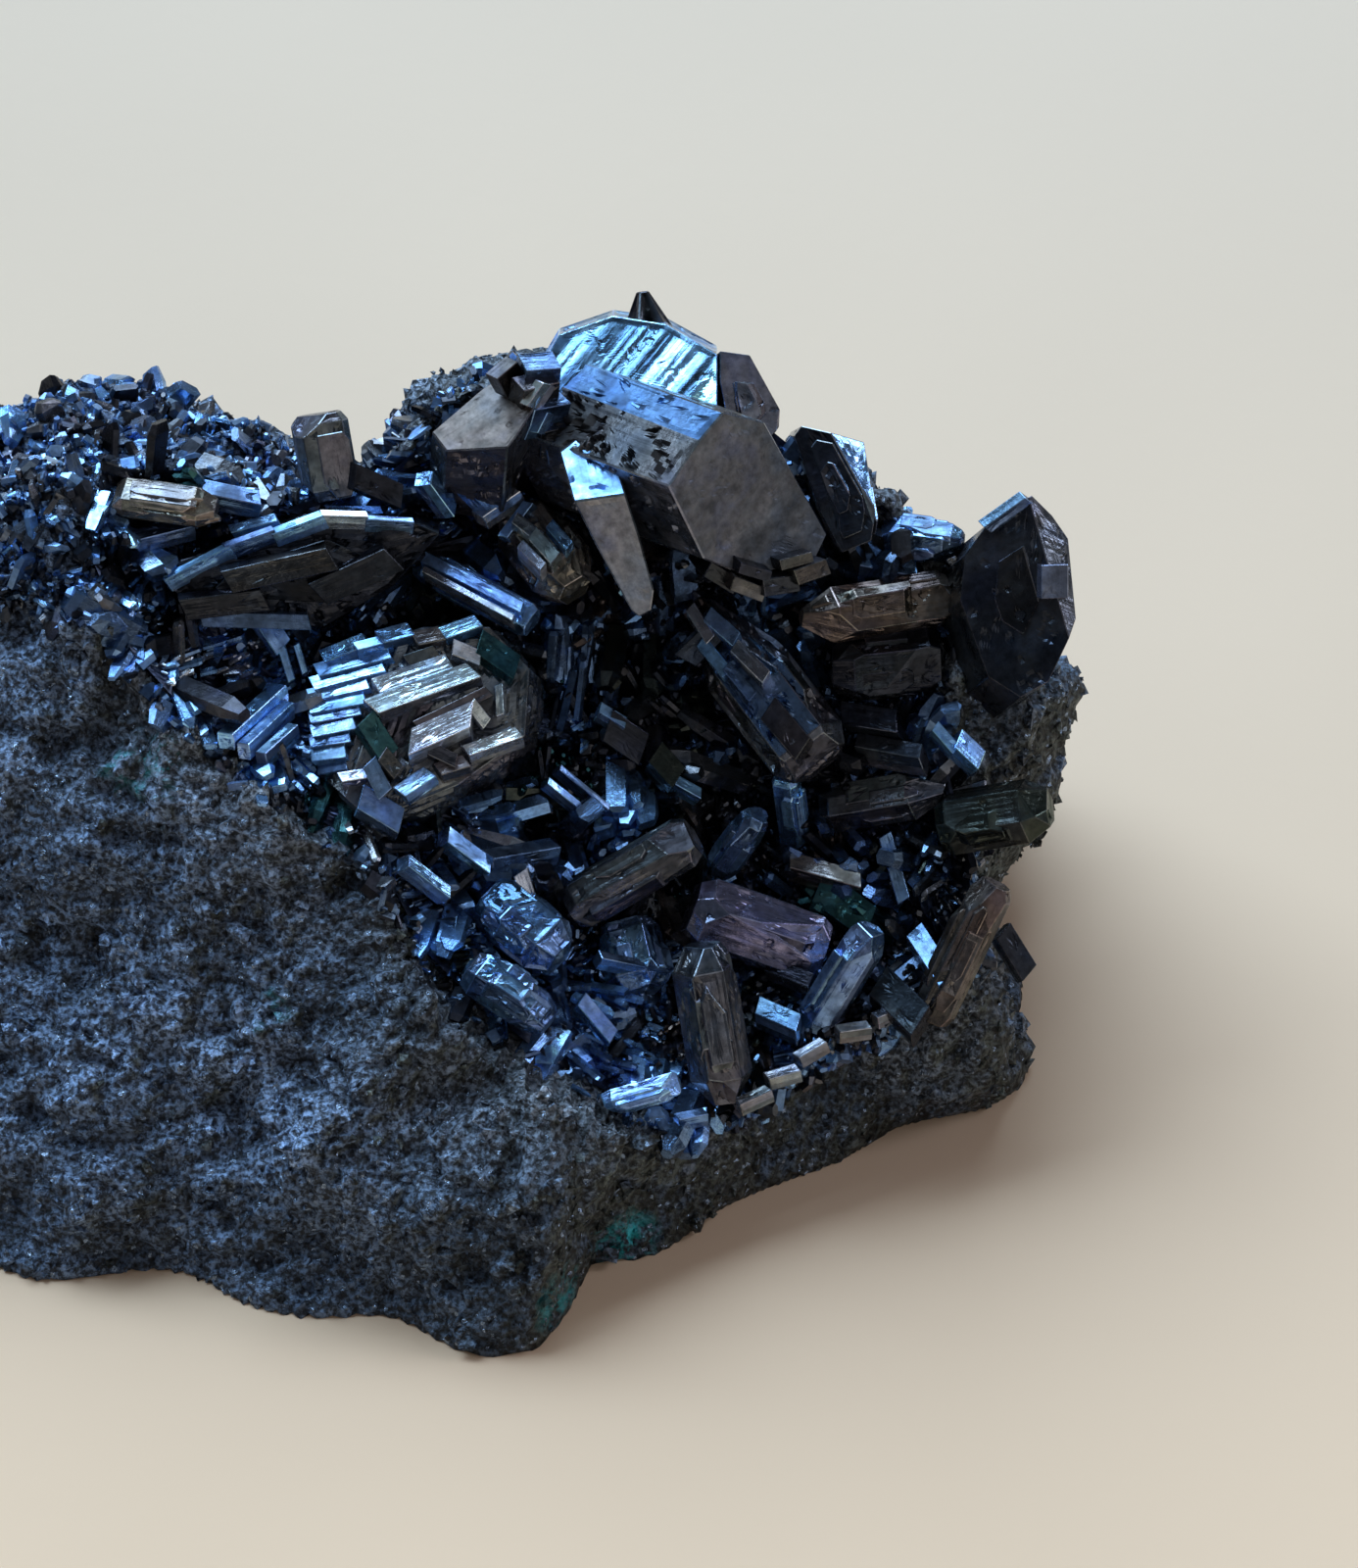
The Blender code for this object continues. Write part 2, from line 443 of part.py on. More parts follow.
def large_crystals():
    """Every crystal that stands out of the crust by itself: name, colour, and the crystals grown together in it."""
    return (
        ("main_crystal", "gunmetal", (
            seen(((9.2, 64.1), (12.0, 63.5), (16.3, 56.0), (15.5, 54.3), (11.0, 53.0), (7.9, 54.2), (5.3, 59.5)),
                 stand=15.0, depth=17.0, facing=(0.66, -0.25, 0.70), along=(0.66, -0.25, 0.70)),
            seen(((-10.6, 62.9), (-7.0, 66.0), (-4.2, 67.6), (-1.9, 67.2), (-4.8, 62.6), (-5.4, 61.8), (-9.6, 61.6)),
                 stand=7.0, depth=10.0, facing=(-0.35, 0.55, 0.76), along=(0.05, 0.45, 0.89)),
            seen(((-1.5, 60.1), (0.3, 61.0), (2.3, 59.5), (3.5, 55.8), (4.5, 52.1), (4.3, 50.7), (3.5, 50.3),
                  (2.7, 50.9), (0.5, 55.3), (-0.8, 57.7)),
                 stand=16.5, depth=8.5, facing=(-0.10, -0.28, 0.95), along=(0.10, -0.35, 0.93),
                 cuts=((SKY, (1.1, 58.4)),)),
        )),
        ("stepped_crystal", "steel", (
            seen(((-18.5, 45.7), (-16.5, 48.0), (-11.3, 49.7), (-6.7, 49.7), (-4.0, 46.9), (-4.3, 42.3),
                  (-8.7, 39.0), (-14.7, 36.5), (-17.9, 39.3), (-18.8, 42.7)),
                 stand=7.5, depth=9.5, facing=(0.05, 0.10, 0.99), along=(-0.10, 0.10, 0.98),
                 cuts=(((-0.62, 0.30, 0.72), (-14.5, 44.0)), ((0.45, -0.50, 0.74), (-6.0, 41.0)))),
        )),
        ("needle_bar", "steel", (
            prism((-11.5, 54.2), (-3.8, 50.0), (-0.1, 0.6, 0.78), 2.4, 1.9, flat=0.7, edge=0.4, rise=3.2, lift=0.4,
                  tip_cut=(0.5, 0.8)),
        )),
        ("faceted_knob", "bronze", (
            prism((-4.6, 57.0), (-0.9, 52.2), SKY, 4.8, 4.6, rise=3.0, lift=1.6, tip_cut=(1.6, 0.55)),
        )),
        ("long_crystal", "gunmetal", (
            seen(((-29.0, 52.9), (-27.7, 54.2), (-18.0, 57.3), (-11.7, 56.7), (-10.1, 56.0), (-13.3, 52.5),
                  (-18.0, 49.7), (-26.0, 50.2)),
                 stand=4.6, depth=6.5, facing=(0.05, -0.35, 0.93), along=(0.0, -0.15, 0.98)),
        )),
        ("tan_blade", "bronze", (
            prism((-32.2, 58.6), (-25.2, 57.6), (-0.1, 0.55, 0.83), 2.6, 2.2, flat=0.7, edge=0.3, rise=1.0, lift=0.9),
        )),
        ("saddle_block", "steel", (
            prism((-17.4, 58.4), (-18.4, 64.2), (0.1, 0.1, 0.98), 3.8, 3.2, flat=0.75, edge=0.5, rise=0.6, lift=0.4,
                  tip_cut=(0.6, 0.8)),
        )),
        ("fan_crystal", "steel", (
            seen(((-3.7, 66.6), (-2.0, 69.6), (1.7, 70.9), (5.3, 70.3), (8.8, 68.2), (8.8, 64.0), (-1.0, 63.5)),
                 stand=5.0, depth=7.5, facing=(-0.12, 0.42, 0.90), along=(0.0, -0.10, 0.99)),
            prism((4.5, 66.5), (3.7, 72.6), (0.2, 0.1, 0.97), 3.6, 3.0, rise=0.5, lift=1.6, tip_cut=(2.6, 0.25)),
        )),
        ("back_block", "olive", (
            seen(((9.0, 66.5), (8.6, 68.6), (11.6, 68.2), (13.0, 65.6), (13.2, 63.5), (11.0, 61.0), (9.0, 61.5)),
                 stand=2.4, depth=6.0, facing=(0.25, 0.05, 0.96), along=(0.15, 0.10, 0.98)),
        )),
        ("right_plate", "gunmetal", (
            seen(((13.5, 62.0), (15.0, 64.0), (18.8, 63.2), (19.6, 57.5), (19.3, 55.6), (16.9, 54.6), (15.9, 57.5)),
                 stand=4.6, depth=8.0, facing=(-0.28, -0.10, 0.95), along=(0.05, -0.02, 1.00),
                 cuts=(((0.55, 0.35, 0.75), (17.9, 60.5)),)),
        )),
        ("low_crystal", "steel", (
            prism((20.0, 56.2), (25.6, 55.4), (-0.1, 0.6, 0.8), 3.0, 2.6, rise=1.0, lift=0.7),
        )),
        ("horn_crystal", "gunmetal", (
            seen(((25.7, 54.6), (27.2, 56.7), (30.3, 58.7), (32.0, 57.6), (33.3, 56.2), (33.5, 50.5), (31.4, 46.0),
                  (29.5, 44.9), (27.3, 46.3), (25.4, 51.5)),
                 stand=8.0, depth=14.0, facing=(-0.30, -0.12, 0.94), along=(0.27, 0.22, 0.94),
                 cuts=(((0.52, 0.12, 0.84), (31.3, 54.0)),)),
        )),
        ("ledge_crystal", "bronze", (
            prism((24.6, 51.8), (14.6, 50.2), SKY, 3.8, 3.4, rise=3.0, lift=1.8, tip_cut=(2.2, 0.4)),
        )),
        ("under_ledge", "gunmetal", (
            prism((24.0, 47.6), (16.0, 46.8), (0.0, -0.3, 0.95), 4.6, 3.2, rise=1.0, lift=1.0, tip_cut=(2.0, 0.5)),
        )),
        ("wedge_crystal", "gunmetal", (
            prism((7.4, 51.4), (15.8, 40.4), (-0.35, 0.35, 0.86), 6.0, 4.8, flat=0.6, rise=4.0, lift=1.0,
                  tip_cut=(1.4, 0.75), root_cut=(5.5, 0.3)),
        )),
        ("bright_bar", "steel", (
            prism((14.2, 34.6), (13.5, 39.6), (-0.30, 0.25, 0.90), 1.9, 1.7, flat=0.7, edge=0.4, rise=4.5, lift=-0.3,
                  tip_cut=(0.4, 0.8)),
        )),
        ("upper_spear", "gunmetal", (
            prism((16.2, 37.2), (24.6, 38.6), (0.0, 0.30, 0.95), 3.6, 3.0, rise=3.0, lift=0.6, tip_cut=(2.4, 0.3)),
        )),
        ("right_spear", "bronze", (
            prism((24.2, 36.2), (31.5, 37.4), (0.0, 0.25, 0.97), 4.6, 3.4, flat=0.5, rise=2.6, lift=0.5,
                  tip_cut=(1.6, 0.6)),
        )),
        ("right_column", "bronze", (
            prism((23.4, 22.9), (27.8, 32.2), (0.1, 0.1, 0.99), 3.0, 2.7, flat=0.6, edge=0.2, rise=2.5, lift=0.6,
                  tip_cut=(0.8, 0.75)),
        )),
        ("edge_prism", "steel", (
            prism((15.4, 22.4), (19.4, 29.0), (-0.45, 0.40, 0.80), 2.8, 2.6, flat=0.6, edge=0.2, rise=3.2, lift=0.4,
                  tip_cut=(0.6, 0.8)),
        )),
        ("pale_column", "gunmetal", (
            prism((9.4, 17.2), (7.6, 28.0), (0.10, 0.05, 0.99), 4.4, 4.0, flat=0.5, rise=2.4, lift=1.1,
                  tip_cut=(1.6, 0.6), root_cut=(2.0, 0.4)),
        )),
        ("lavender_prism", "steel", (
            prism((16.0, 27.4), (7.0, 30.6), SKY, 5.2, 4.6, flat=0.5, rise=1.5, lift=1.4, tip_cut=(1.0, 0.75)),
        )),
        ("flat_bar", "steel", (
            prism((1.0, 17.2), (6.2, 18.7), SKY, 1.6, 1.3, flat=0.7, edge=0.3, rise=1.0, lift=2.2, tip_cut=(0.3, 0.8)),
        )),
        ("barrel_crystal", "gunmetal", (
            prism((-1.2, 30.5), (7.2, 35.4), (0.0, 0.30, 0.95), 3.8, 3.4, flat=0.55, rise=2.0, lift=1.4,
                  tip_cut=(0.8, 0.75)),
        )),
        ("little_prism", "steel", (
            prism((8.9, 33.0), (11.7, 36.9), SKY, 2.2, 2.0, flat=0.6, rise=3.0, lift=0.3, tip_cut=(0.6, 0.75)),
        )),
        ("left_nugget", "steel", (
            prism((-6.8, 31.2), (-1.8, 27.2), SKY, 4.8, 4.0, rise=1.6, lift=2.0, tip_cut=(1.4, 0.6)),
        )),
        ("lamellar_nugget", "steel", (
            prism((2.4, 29.4), (3.6, 24.6), SKY, 4.8, 3.2, rise=1.6, lift=1.2, tip_cut=(1.2, 0.6)),
        )),
        ("rim_nugget", "steel", (
            prism((-8.0, 26.4), (-2.6, 22.8), SKY, 3.6, 3.2, rise=1.0, lift=1.4, tip_cut=(1.2, 0.6)),
        )),
    )


def druse_crystals(standing):
    """Small crystals of the crust in seeded places, clear of the crystals that stand by themselves."""
    dice = random.Random(SEED)
    across_low, up_low = np.min(RIM, axis=0)
    across_high, up_high = np.max(RIM, axis=0)
    made, roots = [], []
    while len(made) < DRUSE_COUNT:
        root = (dice.uniform(across_low, across_high), dice.uniform(up_low, up_high))
        turn, lean = dice.uniform(0, 2 * math.pi), dice.uniform(*DRUSE_LEAN)
        length, width = dice.uniform(*DRUSE_LENGTH), dice.uniform(*DRUSE_WIDTH)
        reach = length * math.sin(lean)
        tip = (root[0] + reach * math.cos(turn), root[1] + reach * math.sin(turn))
        if inside_rim(np.array([root[0], tip[0]]), np.array([root[1], tip[1]])).min() < DRUSE_MARGIN:
            continue
        if any(math.dist(root, other) < DRUSE_SPACING for other in roots):
            continue
        crystal = prism(root, tip, (dice.uniform(-1, 1), dice.uniform(-1, 1), 0.6), width, width * 0.75,
                        rise=length * math.cos(lean), lift=-DRUSE_DEPTH, tip_cut=(width * 0.5, 0.5), root_cut=(0.1, 1.0))
        stops = np.linspace(-0.5, 0.5, 9)[:, None]
        line = crystal.centre + stops * (*np.subtract(tip, root), length * math.cos(lean))
        if any(body.holds(line, width * 0.6 + GAP).any() for body in standing):
            continue
        made.append(crystal)
        roots.append(root)
    return made


def crust_sheet():
    """The crust's own body: rings drawn in from the rim to the vug's heart, with a top and a rooted underside."""
    heart = np.array(VUG_HEART)
    outline = np.array(RIM)
    lengths = np.linalg.norm(np.roll(outline, -1, axis=0) - outline, axis=1)
    stops = np.concatenate([[0], np.cumsum(lengths)])
    closed = np.vstack([outline, outline[:1]])
    places = np.arange(CRUST_SECTORS) / CRUST_SECTORS * stops[-1]
    edge = np.stack([np.interp(places, stops, closed[:, axis]) for axis in (0, 1)], -1)
    shares = np.linspace(1, 0, CRUST_RINGS + 1)[:-1] ** RING_CROWDING
    shape = bmesh.new()

    def sheet(level):
        """Rings of vertices at the level that a function of across and up gives, and their middle vertex."""
        rings = []
        for share in shares:
            flat = heart + (edge - heart) * share
            near = level(flat[:, 0], flat[:, 1])
            points = placed(np.column_stack([flat, near]) @ TO_ROW.T)
            rings.append([shape.verts.new(point) for point in points])
        middle = np.array((*heart, level(heart[:1], heart[1:])[0]))
        centre = shape.verts.new(placed(TO_ROW @ middle))
        for outer, inner in zip(rings, rings[1:]):
            for here in range(CRUST_SECTORS):
                there = (here + 1) % CRUST_SECTORS
                shape.faces.new((outer[here], outer[there], inner[there], inner[here]))
        for here in range(CRUST_SECTORS):
            shape.faces.new((rings[-1][here], rings[-1][(here + 1) % CRUST_SECTORS], centre))
        return rings[0]

    top = sheet(crust_level)
    under = sheet(lambda across, up: vug_floor(across, up) + CRUST_LIFT)
    for here in range(CRUST_SECTORS):
        there = (here + 1) % CRUST_SECTORS
        shape.faces.new((top[here], under[here], under[there], top[there]))
    bmesh.ops.recalc_face_normals(shape, faces=shape.faces)
    bmesh.ops.triangulate(shape, faces=shape.faces)
    return shape


def solid_of(name, bodies, grow=0.0, look=None):
    """One object holding the union of some crystals, each grown outwards by grow."""
    made = None
    for number, body in enumerate(bodies):
        shape = bmesh.new()
        body.add_solid(shape, grow)
        piece = new_object(name if made is None else f"{name}_{number}", shape, look)
        if made is None:
            made = piece
            continue
        boolean(made, piece, "UNION")
        remove(piece)
    return made


def main():
    """Builds the block, the crust and the standing crystals, each clear of its neighbours by the gap."""
    for thing in list(bpy.data.objects):
        bpy.data.objects.remove(thing)
    rock = build_matrix()
    swollen_rock = grown_copy(rock, GAP)
    crystals = large_crystals()
    standing = [body for _, _, bodies in crystals for body in bodies]

    crust = new_object("vug_crust", crust_sheet(), material("vug_crust", CRUST_COLOUR, 0.35, 0.8))
    druse = bmesh.new()
    for body in druse_crystals(standing):
        body.add_solid(druse)
    druse = new_object("druse", druse)
    boolean(crust, druse, "UNION")
    remove(druse)

    sockets = bmesh.new()
    for body in standing:
        body.add_solid(sockets, GAP)
    sockets = new_object("sockets", sockets)
    boolean(crust, sockets, "DIFFERENCE")
    boolean(crust, swollen_rock, "DIFFERENCE")
    keep_largest_shell(crust)
    boolean(rock, sockets, "DIFFERENCE")
    keep_largest_shell(rock)
    remove(sockets)
    remove(swollen_rock)
    tidy(crust)
    tidy(rock)

    finished = []
    for name, colour, bodies in crystals:
        crystal = solid_of(name, bodies, look=material(colour, CRYSTAL_COLOURS[colour], 0.3, 0.9))
        for neighbour, neighbour_bodies in finished:
            if boxes_meet(crystal, neighbour):
                socket = solid_of(name + "_socket", neighbour_bodies, GAP)
                boolean(crystal, socket, "DIFFERENCE")
                remove(socket)
        keep_largest_shell(crystal)
        tidy(crystal)
        finished.append((crystal, bodies))


main()
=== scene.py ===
"""Looks of the chalcocite hand specimen: sooty granular matrix, and a vug of lustrous, striated crystals.

Shapes are worked out in millimetres in the display frame, the way the specimen is looked at: across to the right,
up the leaning display face, and near, out of it towards the eye. DisplayFrame turns them into row metres.
"""

from __future__ import annotations

import itertools
import logging
import math
from collections.abc import Callable
from dataclasses import dataclass, field
from enum import Enum

import bpy
import numpy as np
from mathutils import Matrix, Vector


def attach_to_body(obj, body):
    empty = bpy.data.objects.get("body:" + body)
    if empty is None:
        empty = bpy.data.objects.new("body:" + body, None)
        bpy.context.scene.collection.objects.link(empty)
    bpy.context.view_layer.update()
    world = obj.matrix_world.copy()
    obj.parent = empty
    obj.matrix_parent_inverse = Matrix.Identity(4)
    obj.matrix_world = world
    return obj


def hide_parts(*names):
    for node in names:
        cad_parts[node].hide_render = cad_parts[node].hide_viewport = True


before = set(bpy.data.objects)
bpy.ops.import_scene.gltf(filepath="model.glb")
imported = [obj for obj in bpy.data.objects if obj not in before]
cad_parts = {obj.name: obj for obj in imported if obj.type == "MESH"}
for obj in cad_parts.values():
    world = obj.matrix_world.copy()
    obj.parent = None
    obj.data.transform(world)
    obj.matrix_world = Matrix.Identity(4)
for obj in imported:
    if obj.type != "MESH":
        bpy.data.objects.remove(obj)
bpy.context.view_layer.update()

LOG = logging.getLogger("chalcocite")
MM = 0.001
BODY = "root"
BESIDE = -999.0
Array = np.ndarray
Socket = bpy.types.NodeSocket
Material = bpy.types.Material
Dice = np.random.Generator
Ground = Callable[[Array, Array], Array]
Pair = tuple[float, float]
Triple = tuple[float, float, float]
Colour = tuple[float, float, float, float]


def unit(vectors: Array) -> Array:
    """Vectors at length one, along the last axis."""
    vectors = np.asarray(vectors, float)
    return vectors / np.maximum(np.linalg.norm(vectors, axis=-1, keepdims=True), 1e-12)


def smooth_step(values: Array) -> Array:
    """The S-shaped curve 3t^2 - 2t^3, held at 0 and 1 outside that range."""
    share = np.clip(values, 0.0, 1.0)
    return share * share * (3.0 - 2.0 * share)


@dataclass(frozen=True)
class DisplayFrame:
    """The display frame's place in the row frame.

    Attributes:
        lean: How far the display face leans back from the table's normal, in radians.
        middle_across: Across coordinate of the row's origin, in millimetres.
        middle_depth: Depth behind the front toe of the row's origin, in millimetres.
    """

    lean: float = math.radians(45.0)
    middle_across: float = -15.3
    middle_depth: float = 30.2

    @property
    def axes(self) -> Array:
        """Columns are the across, up and near directions in row axes."""
        cosine, sine = math.cos(self.lean), math.sin(self.lean)
        return np.array([[1.0, 0.0, 0.0], [0.0, cosine, -sine], [0.0, sine, cosine]])

    def place(self, points: Array) -> Array:
        """Display points in millimetres as row points in metres."""
        return (np.asarray(points) @ self.axes.T - (self.middle_across, self.middle_depth, 0.0)) * MM

    def height(self, points: Array) -> Array:
        """Height above the table of display points, in millimetres."""
        return np.asarray(points) @ self.axes[2]


DISPLAY = DisplayFrame()


def corner_tones(cells: Array, seed: int) -> Array:
    """Repeatable random numbers from 0 to 1, one for each whole-numbered lattice cell."""
    mixed = cells.astype(np.int64) @ np.array([73856093, 19349663, 83492791]) + seed * 97841
    mixed = (mixed ^ (mixed >> 13)) * 1274126177
    mixed = (mixed ^ (mixed >> 16)) * 668265263
    return ((mixed >> 8) & 0xFFFF) / 65535.0


def lattice_noise(points: Array, seed: int) -> Array:
    """Smooth noise from -1 to 1: lattice corners' random heights, blended by smooth steps between the corners.

    Args:
        points: Points, three numbers each, in units of the lattice's pitch.
        seed: Which noise.

    Returns:
        One height for each point.
    """
    base = np.floor(points).astype(np.int64)
    blend = smooth_step(points - base)
    total = np.zeros(len(points))
    for corner in itertools.product((0, 1), repeat=3):
        weight = np.prod(np.where(corner, blend, 1.0 - blend), axis=1)
        total += weight * corner_tones(base + corner, seed)
    return total * 2.0 - 1.0


def layered_noise(points: Array, pitch: float, layers: int, seed: int) -> Array:
    """Sum of lattice noises, each layer half as long and half as high as the one before."""
    total = np.zeros(len(points))
    for layer in range(layers):
        total += lattice_noise(points * (2.0 ** layer / pitch), seed + layer) * 0.5 ** layer
    return total


def cell_noise(points: Array, pitch: float, seed: int) -> tuple[Array, Array, Array]:
    """Distances to scattered seeds, one seed in each lattice cell.

    Args:
        points: Points in millimetres.
        pitch: Size of a lattice cell.
        seed: Which scatter.

    Returns:
        Distance to the nearest seed and to the second nearest, in units of the pitch, and the nearest seed's tone.
    """
    scaled = points / pitch
    base = np.floor(scaled).astype(np.int64)
    nearest = np.full(len(points), 9.0)
    second = np.full(len(points), 9.0)
    tone = np.zeros(len(points))
    for step in itertools.product((-1, 0, 1), repeat=3):
        cell = base + step
        shift = np.stack([corner_tones(cell, seed + axis) for axis in range(3)], axis=1)
        gap = np.linalg.norm(cell + shift - scaled, axis=1)
        closer = gap < nearest
        second = np.where(closer, nearest, np.minimum(second, gap))
        tone = np.where(closer, corner_tones(cell, seed + 7), tone)
        nearest = np.minimum(nearest, gap)
    return nearest, second, tone


@dataclass
class Skin:
    """Corner data of a mesh: one row for each corner of each face, in the order of the faces.

    Attributes:
        tarnish: Surface colour, three numbers, with the painted shade and reflection that some pieces put in it.
        dull: Roughness added by soot or etching, from 0 to 1.
        lines: Place across and along the striations, in millimetres, kept as the UV map.
    """

    tarnish: Array
    dull: Array
    lines: Array


def make_piece(name: str, points: Array, faces: list[Array], look: Material,
               skin: Skin | None = None, smooth: bool = False) -> bpy.types.Object:
    """Puts worked-out arrays into a mesh object that stands at the origin.

    Args:
        name: The piece's name.
        points: Row points in metres.
        faces: Arrays of vertex numbers, each array holding faces of one number of sides.
        look: The material.
        skin: Corner data, if the material reads any.
        smooth: Whether the faces are shaded smooth.

    Returns:
        The new object, linked to the scene.
    """
    sides = np.concatenate([np.full(len(block), block.shape[1]) for block in faces])
    corners = corner_order(faces).astype(np.int32)
    mesh = bpy.data.meshes.new(name)
    mesh.vertices.add(len(points))
    mesh.vertices.foreach_set("co", np.ascontiguousarray(points, np.float32).ravel())
    mesh.loops.add(len(corners))
    mesh.loops.foreach_set("vertex_index", corners)
    mesh.polygons.add(len(sides))
    mesh.polygons.foreach_set("loop_start", np.concatenate([[0], np.cumsum(sides)[:-1]]).astype(np.int32))
    mesh.polygons.foreach_set("use_smooth", np.full(len(sides), smooth))
    if skin is not None:
        colours = np.column_stack([skin.tarnish, np.ones(len(corners))]).astype(np.float32)
        mesh.attributes.new("tarnish", "FLOAT_COLOR", "CORNER").data.foreach_set("color", colours.ravel())
        mesh.attributes.new("dull", "FLOAT", "CORNER").data.foreach_set("value", skin.dull.astype(np.float32))
        mesh.uv_layers.new(name="lines").uv.foreach_set("vector", skin.lines.astype(np.float32).ravel())
    mesh.update(calc_edges=True)
    mesh.materials.append(look)
    piece = bpy.data.objects.new(name, mesh)
    bpy.context.scene.collection.objects.link(piece)
    return piece


def attach(piece: bpy.types.Object, slot: str, *nodes: str) -> None:
    """Makes a piece ride on the specimen, in place of the nodes that it stands for."""
    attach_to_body(piece, BODY)
    if nodes:
        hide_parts(*nodes)
    LOG.info("%s: %d faces", piece.name, len(piece.data.polygons))


def corner_order(faces: list[Array]) -> Array:
    """Vertex numbers of every face corner, in the order of the faces."""
    return np.concatenate([block.ravel() for block in faces])


def fan(here: Array, there: Array, hub: int) -> Array:
    """Triangles from the edges between two runs of vertices to one hub vertex."""
    return np.column_stack([here, there, np.full(len(here), hub)])


def grid_quads(rows: int, columns: int) -> Array:
    """Quads of a grid whose last column joins its first, numbered row by row."""
    row, column = np.meshgrid(np.arange(rows - 1), np.arange(columns), indexing="ij")
    here, there = row * columns + column, row * columns + (column + 1) % columns
    return np.stack([here, there, there + columns, here + columns], axis=-1).reshape(-1, 4)


class ShaderBench:
    """Lays out the nodes of one Principled material."""

    def __init__(self, name: str) -> None:
        """Starts an empty material of that name."""
        self.material = bpy.data.materials.new(name)
        self.material.use_nodes = True
        self.tree = self.material.node_tree
        self.shader = self.tree.nodes["Principled BSDF"]

    def feed(self, socket: Socket, value: object) -> None:
        """Links a socket to another, or sets its plain value."""
        if isinstance(value, Socket):
            self.tree.links.new(value, socket)
        else:
            socket.default_value = value

    def add(self, kind: str, inputs: dict | None = None, **settings: object) -> bpy.types.Node:
        """A new node of that type with some of its settings and inputs."""
        node = self.tree.nodes.new(kind)
        for key, value in settings.items():
            setattr(node, key, value)
        for key, value in (inputs or {}).items():
            self.feed(node.inputs[key], value)
        return node

    def place(self, scale: Triple = (1.0, 1.0, 1.0), uv: bool = False) -> Socket:
        """Object coordinates in metres, or the lines UV map in millimetres, stretched by a Mapping node."""
        source = self.add("ShaderNodeUVMap", uv_map="lines") if uv else self.add("ShaderNodeTexCoord")
        spot = source.outputs["UV" if uv else "Object"]
        return self.add("ShaderNodeMapping", {"Vector": spot, "Scale": scale}).outputs["Vector"]

    def noise(self, vector: Socket, scale: float, detail: float = 3.0, rough: float = 0.55) -> Socket:
        """Noise texture's value."""
        inputs = {"Vector": vector, "Scale": scale, "Detail": detail, "Roughness": rough}
        return self.add("ShaderNodeTexNoise", inputs).outputs["Fac"]

    def cells(self, vector: Socket, scale: float, output: str = "Distance") -> Socket:
        """Voronoi texture's distance or cell colour."""
        return self.add("ShaderNodeTexVoronoi", {"Vector": vector, "Scale": scale}).outputs[output]

    def attribute(self, name: str, output: str) -> Socket:
        """A mesh attribute's colour or value."""
        return self.add("ShaderNodeAttribute", attribute_name=name).outputs[output]

    def span(self, value: Socket, low: float, high: float, to_low: float, to_high: float) -> Socket:
        """A value carried from one range to another and held inside it."""
        inputs = {"Value": value, "From Min": low, "From Max": high, "To Min": to_low, "To Max": to_high}
        return self.add("ShaderNodeMapRange", inputs).outputs["Result"]

    def sum(self, first: object, second: object, operation: str = "ADD") -> Socket:
        """Two values joined by one operation of the Math node."""
        return self.add("ShaderNodeMath", {0: first, 1: second}, operation=operation).outputs[0]

    def blend(self, share: object, first: object, second: object, way: str = "MIX") -> Socket:
        """Two colours mixed."""
        inputs = {0: share, 6: first, 7: second}
        return self.add("ShaderNodeMix", inputs, data_type="RGBA", blend_type=way).outputs[2]

    def relief(self, height: Socket, distance: float, strength: float = 1.0, under: Socket | None = None) -> Socket:
        """A bump of that distance in metres over another."""
        inputs = {"Height": height, "Distance": distance, "Strength": strength}
        if under is not None:
            inputs["Normal"] = under
        return self.add("ShaderNodeBump", inputs).outputs["Normal"]

    def finish(self, colour: object, rough: object, metal: object, normal: Socket, specular: float = 0.5) -> Material:
        """Links the results to the shader."""
        for key, value in (("Base Color", colour), ("Roughness", rough), ("Metallic", metal), ("Normal", normal),
                           ("Specular IOR Level", specular)):
            self.feed(self.shader.inputs[key], value)
        return self.material


def colour(red: float, green: float, blue: float) -> Colour:
    """An opaque colour."""
    return (red, green, blue, 1.0)


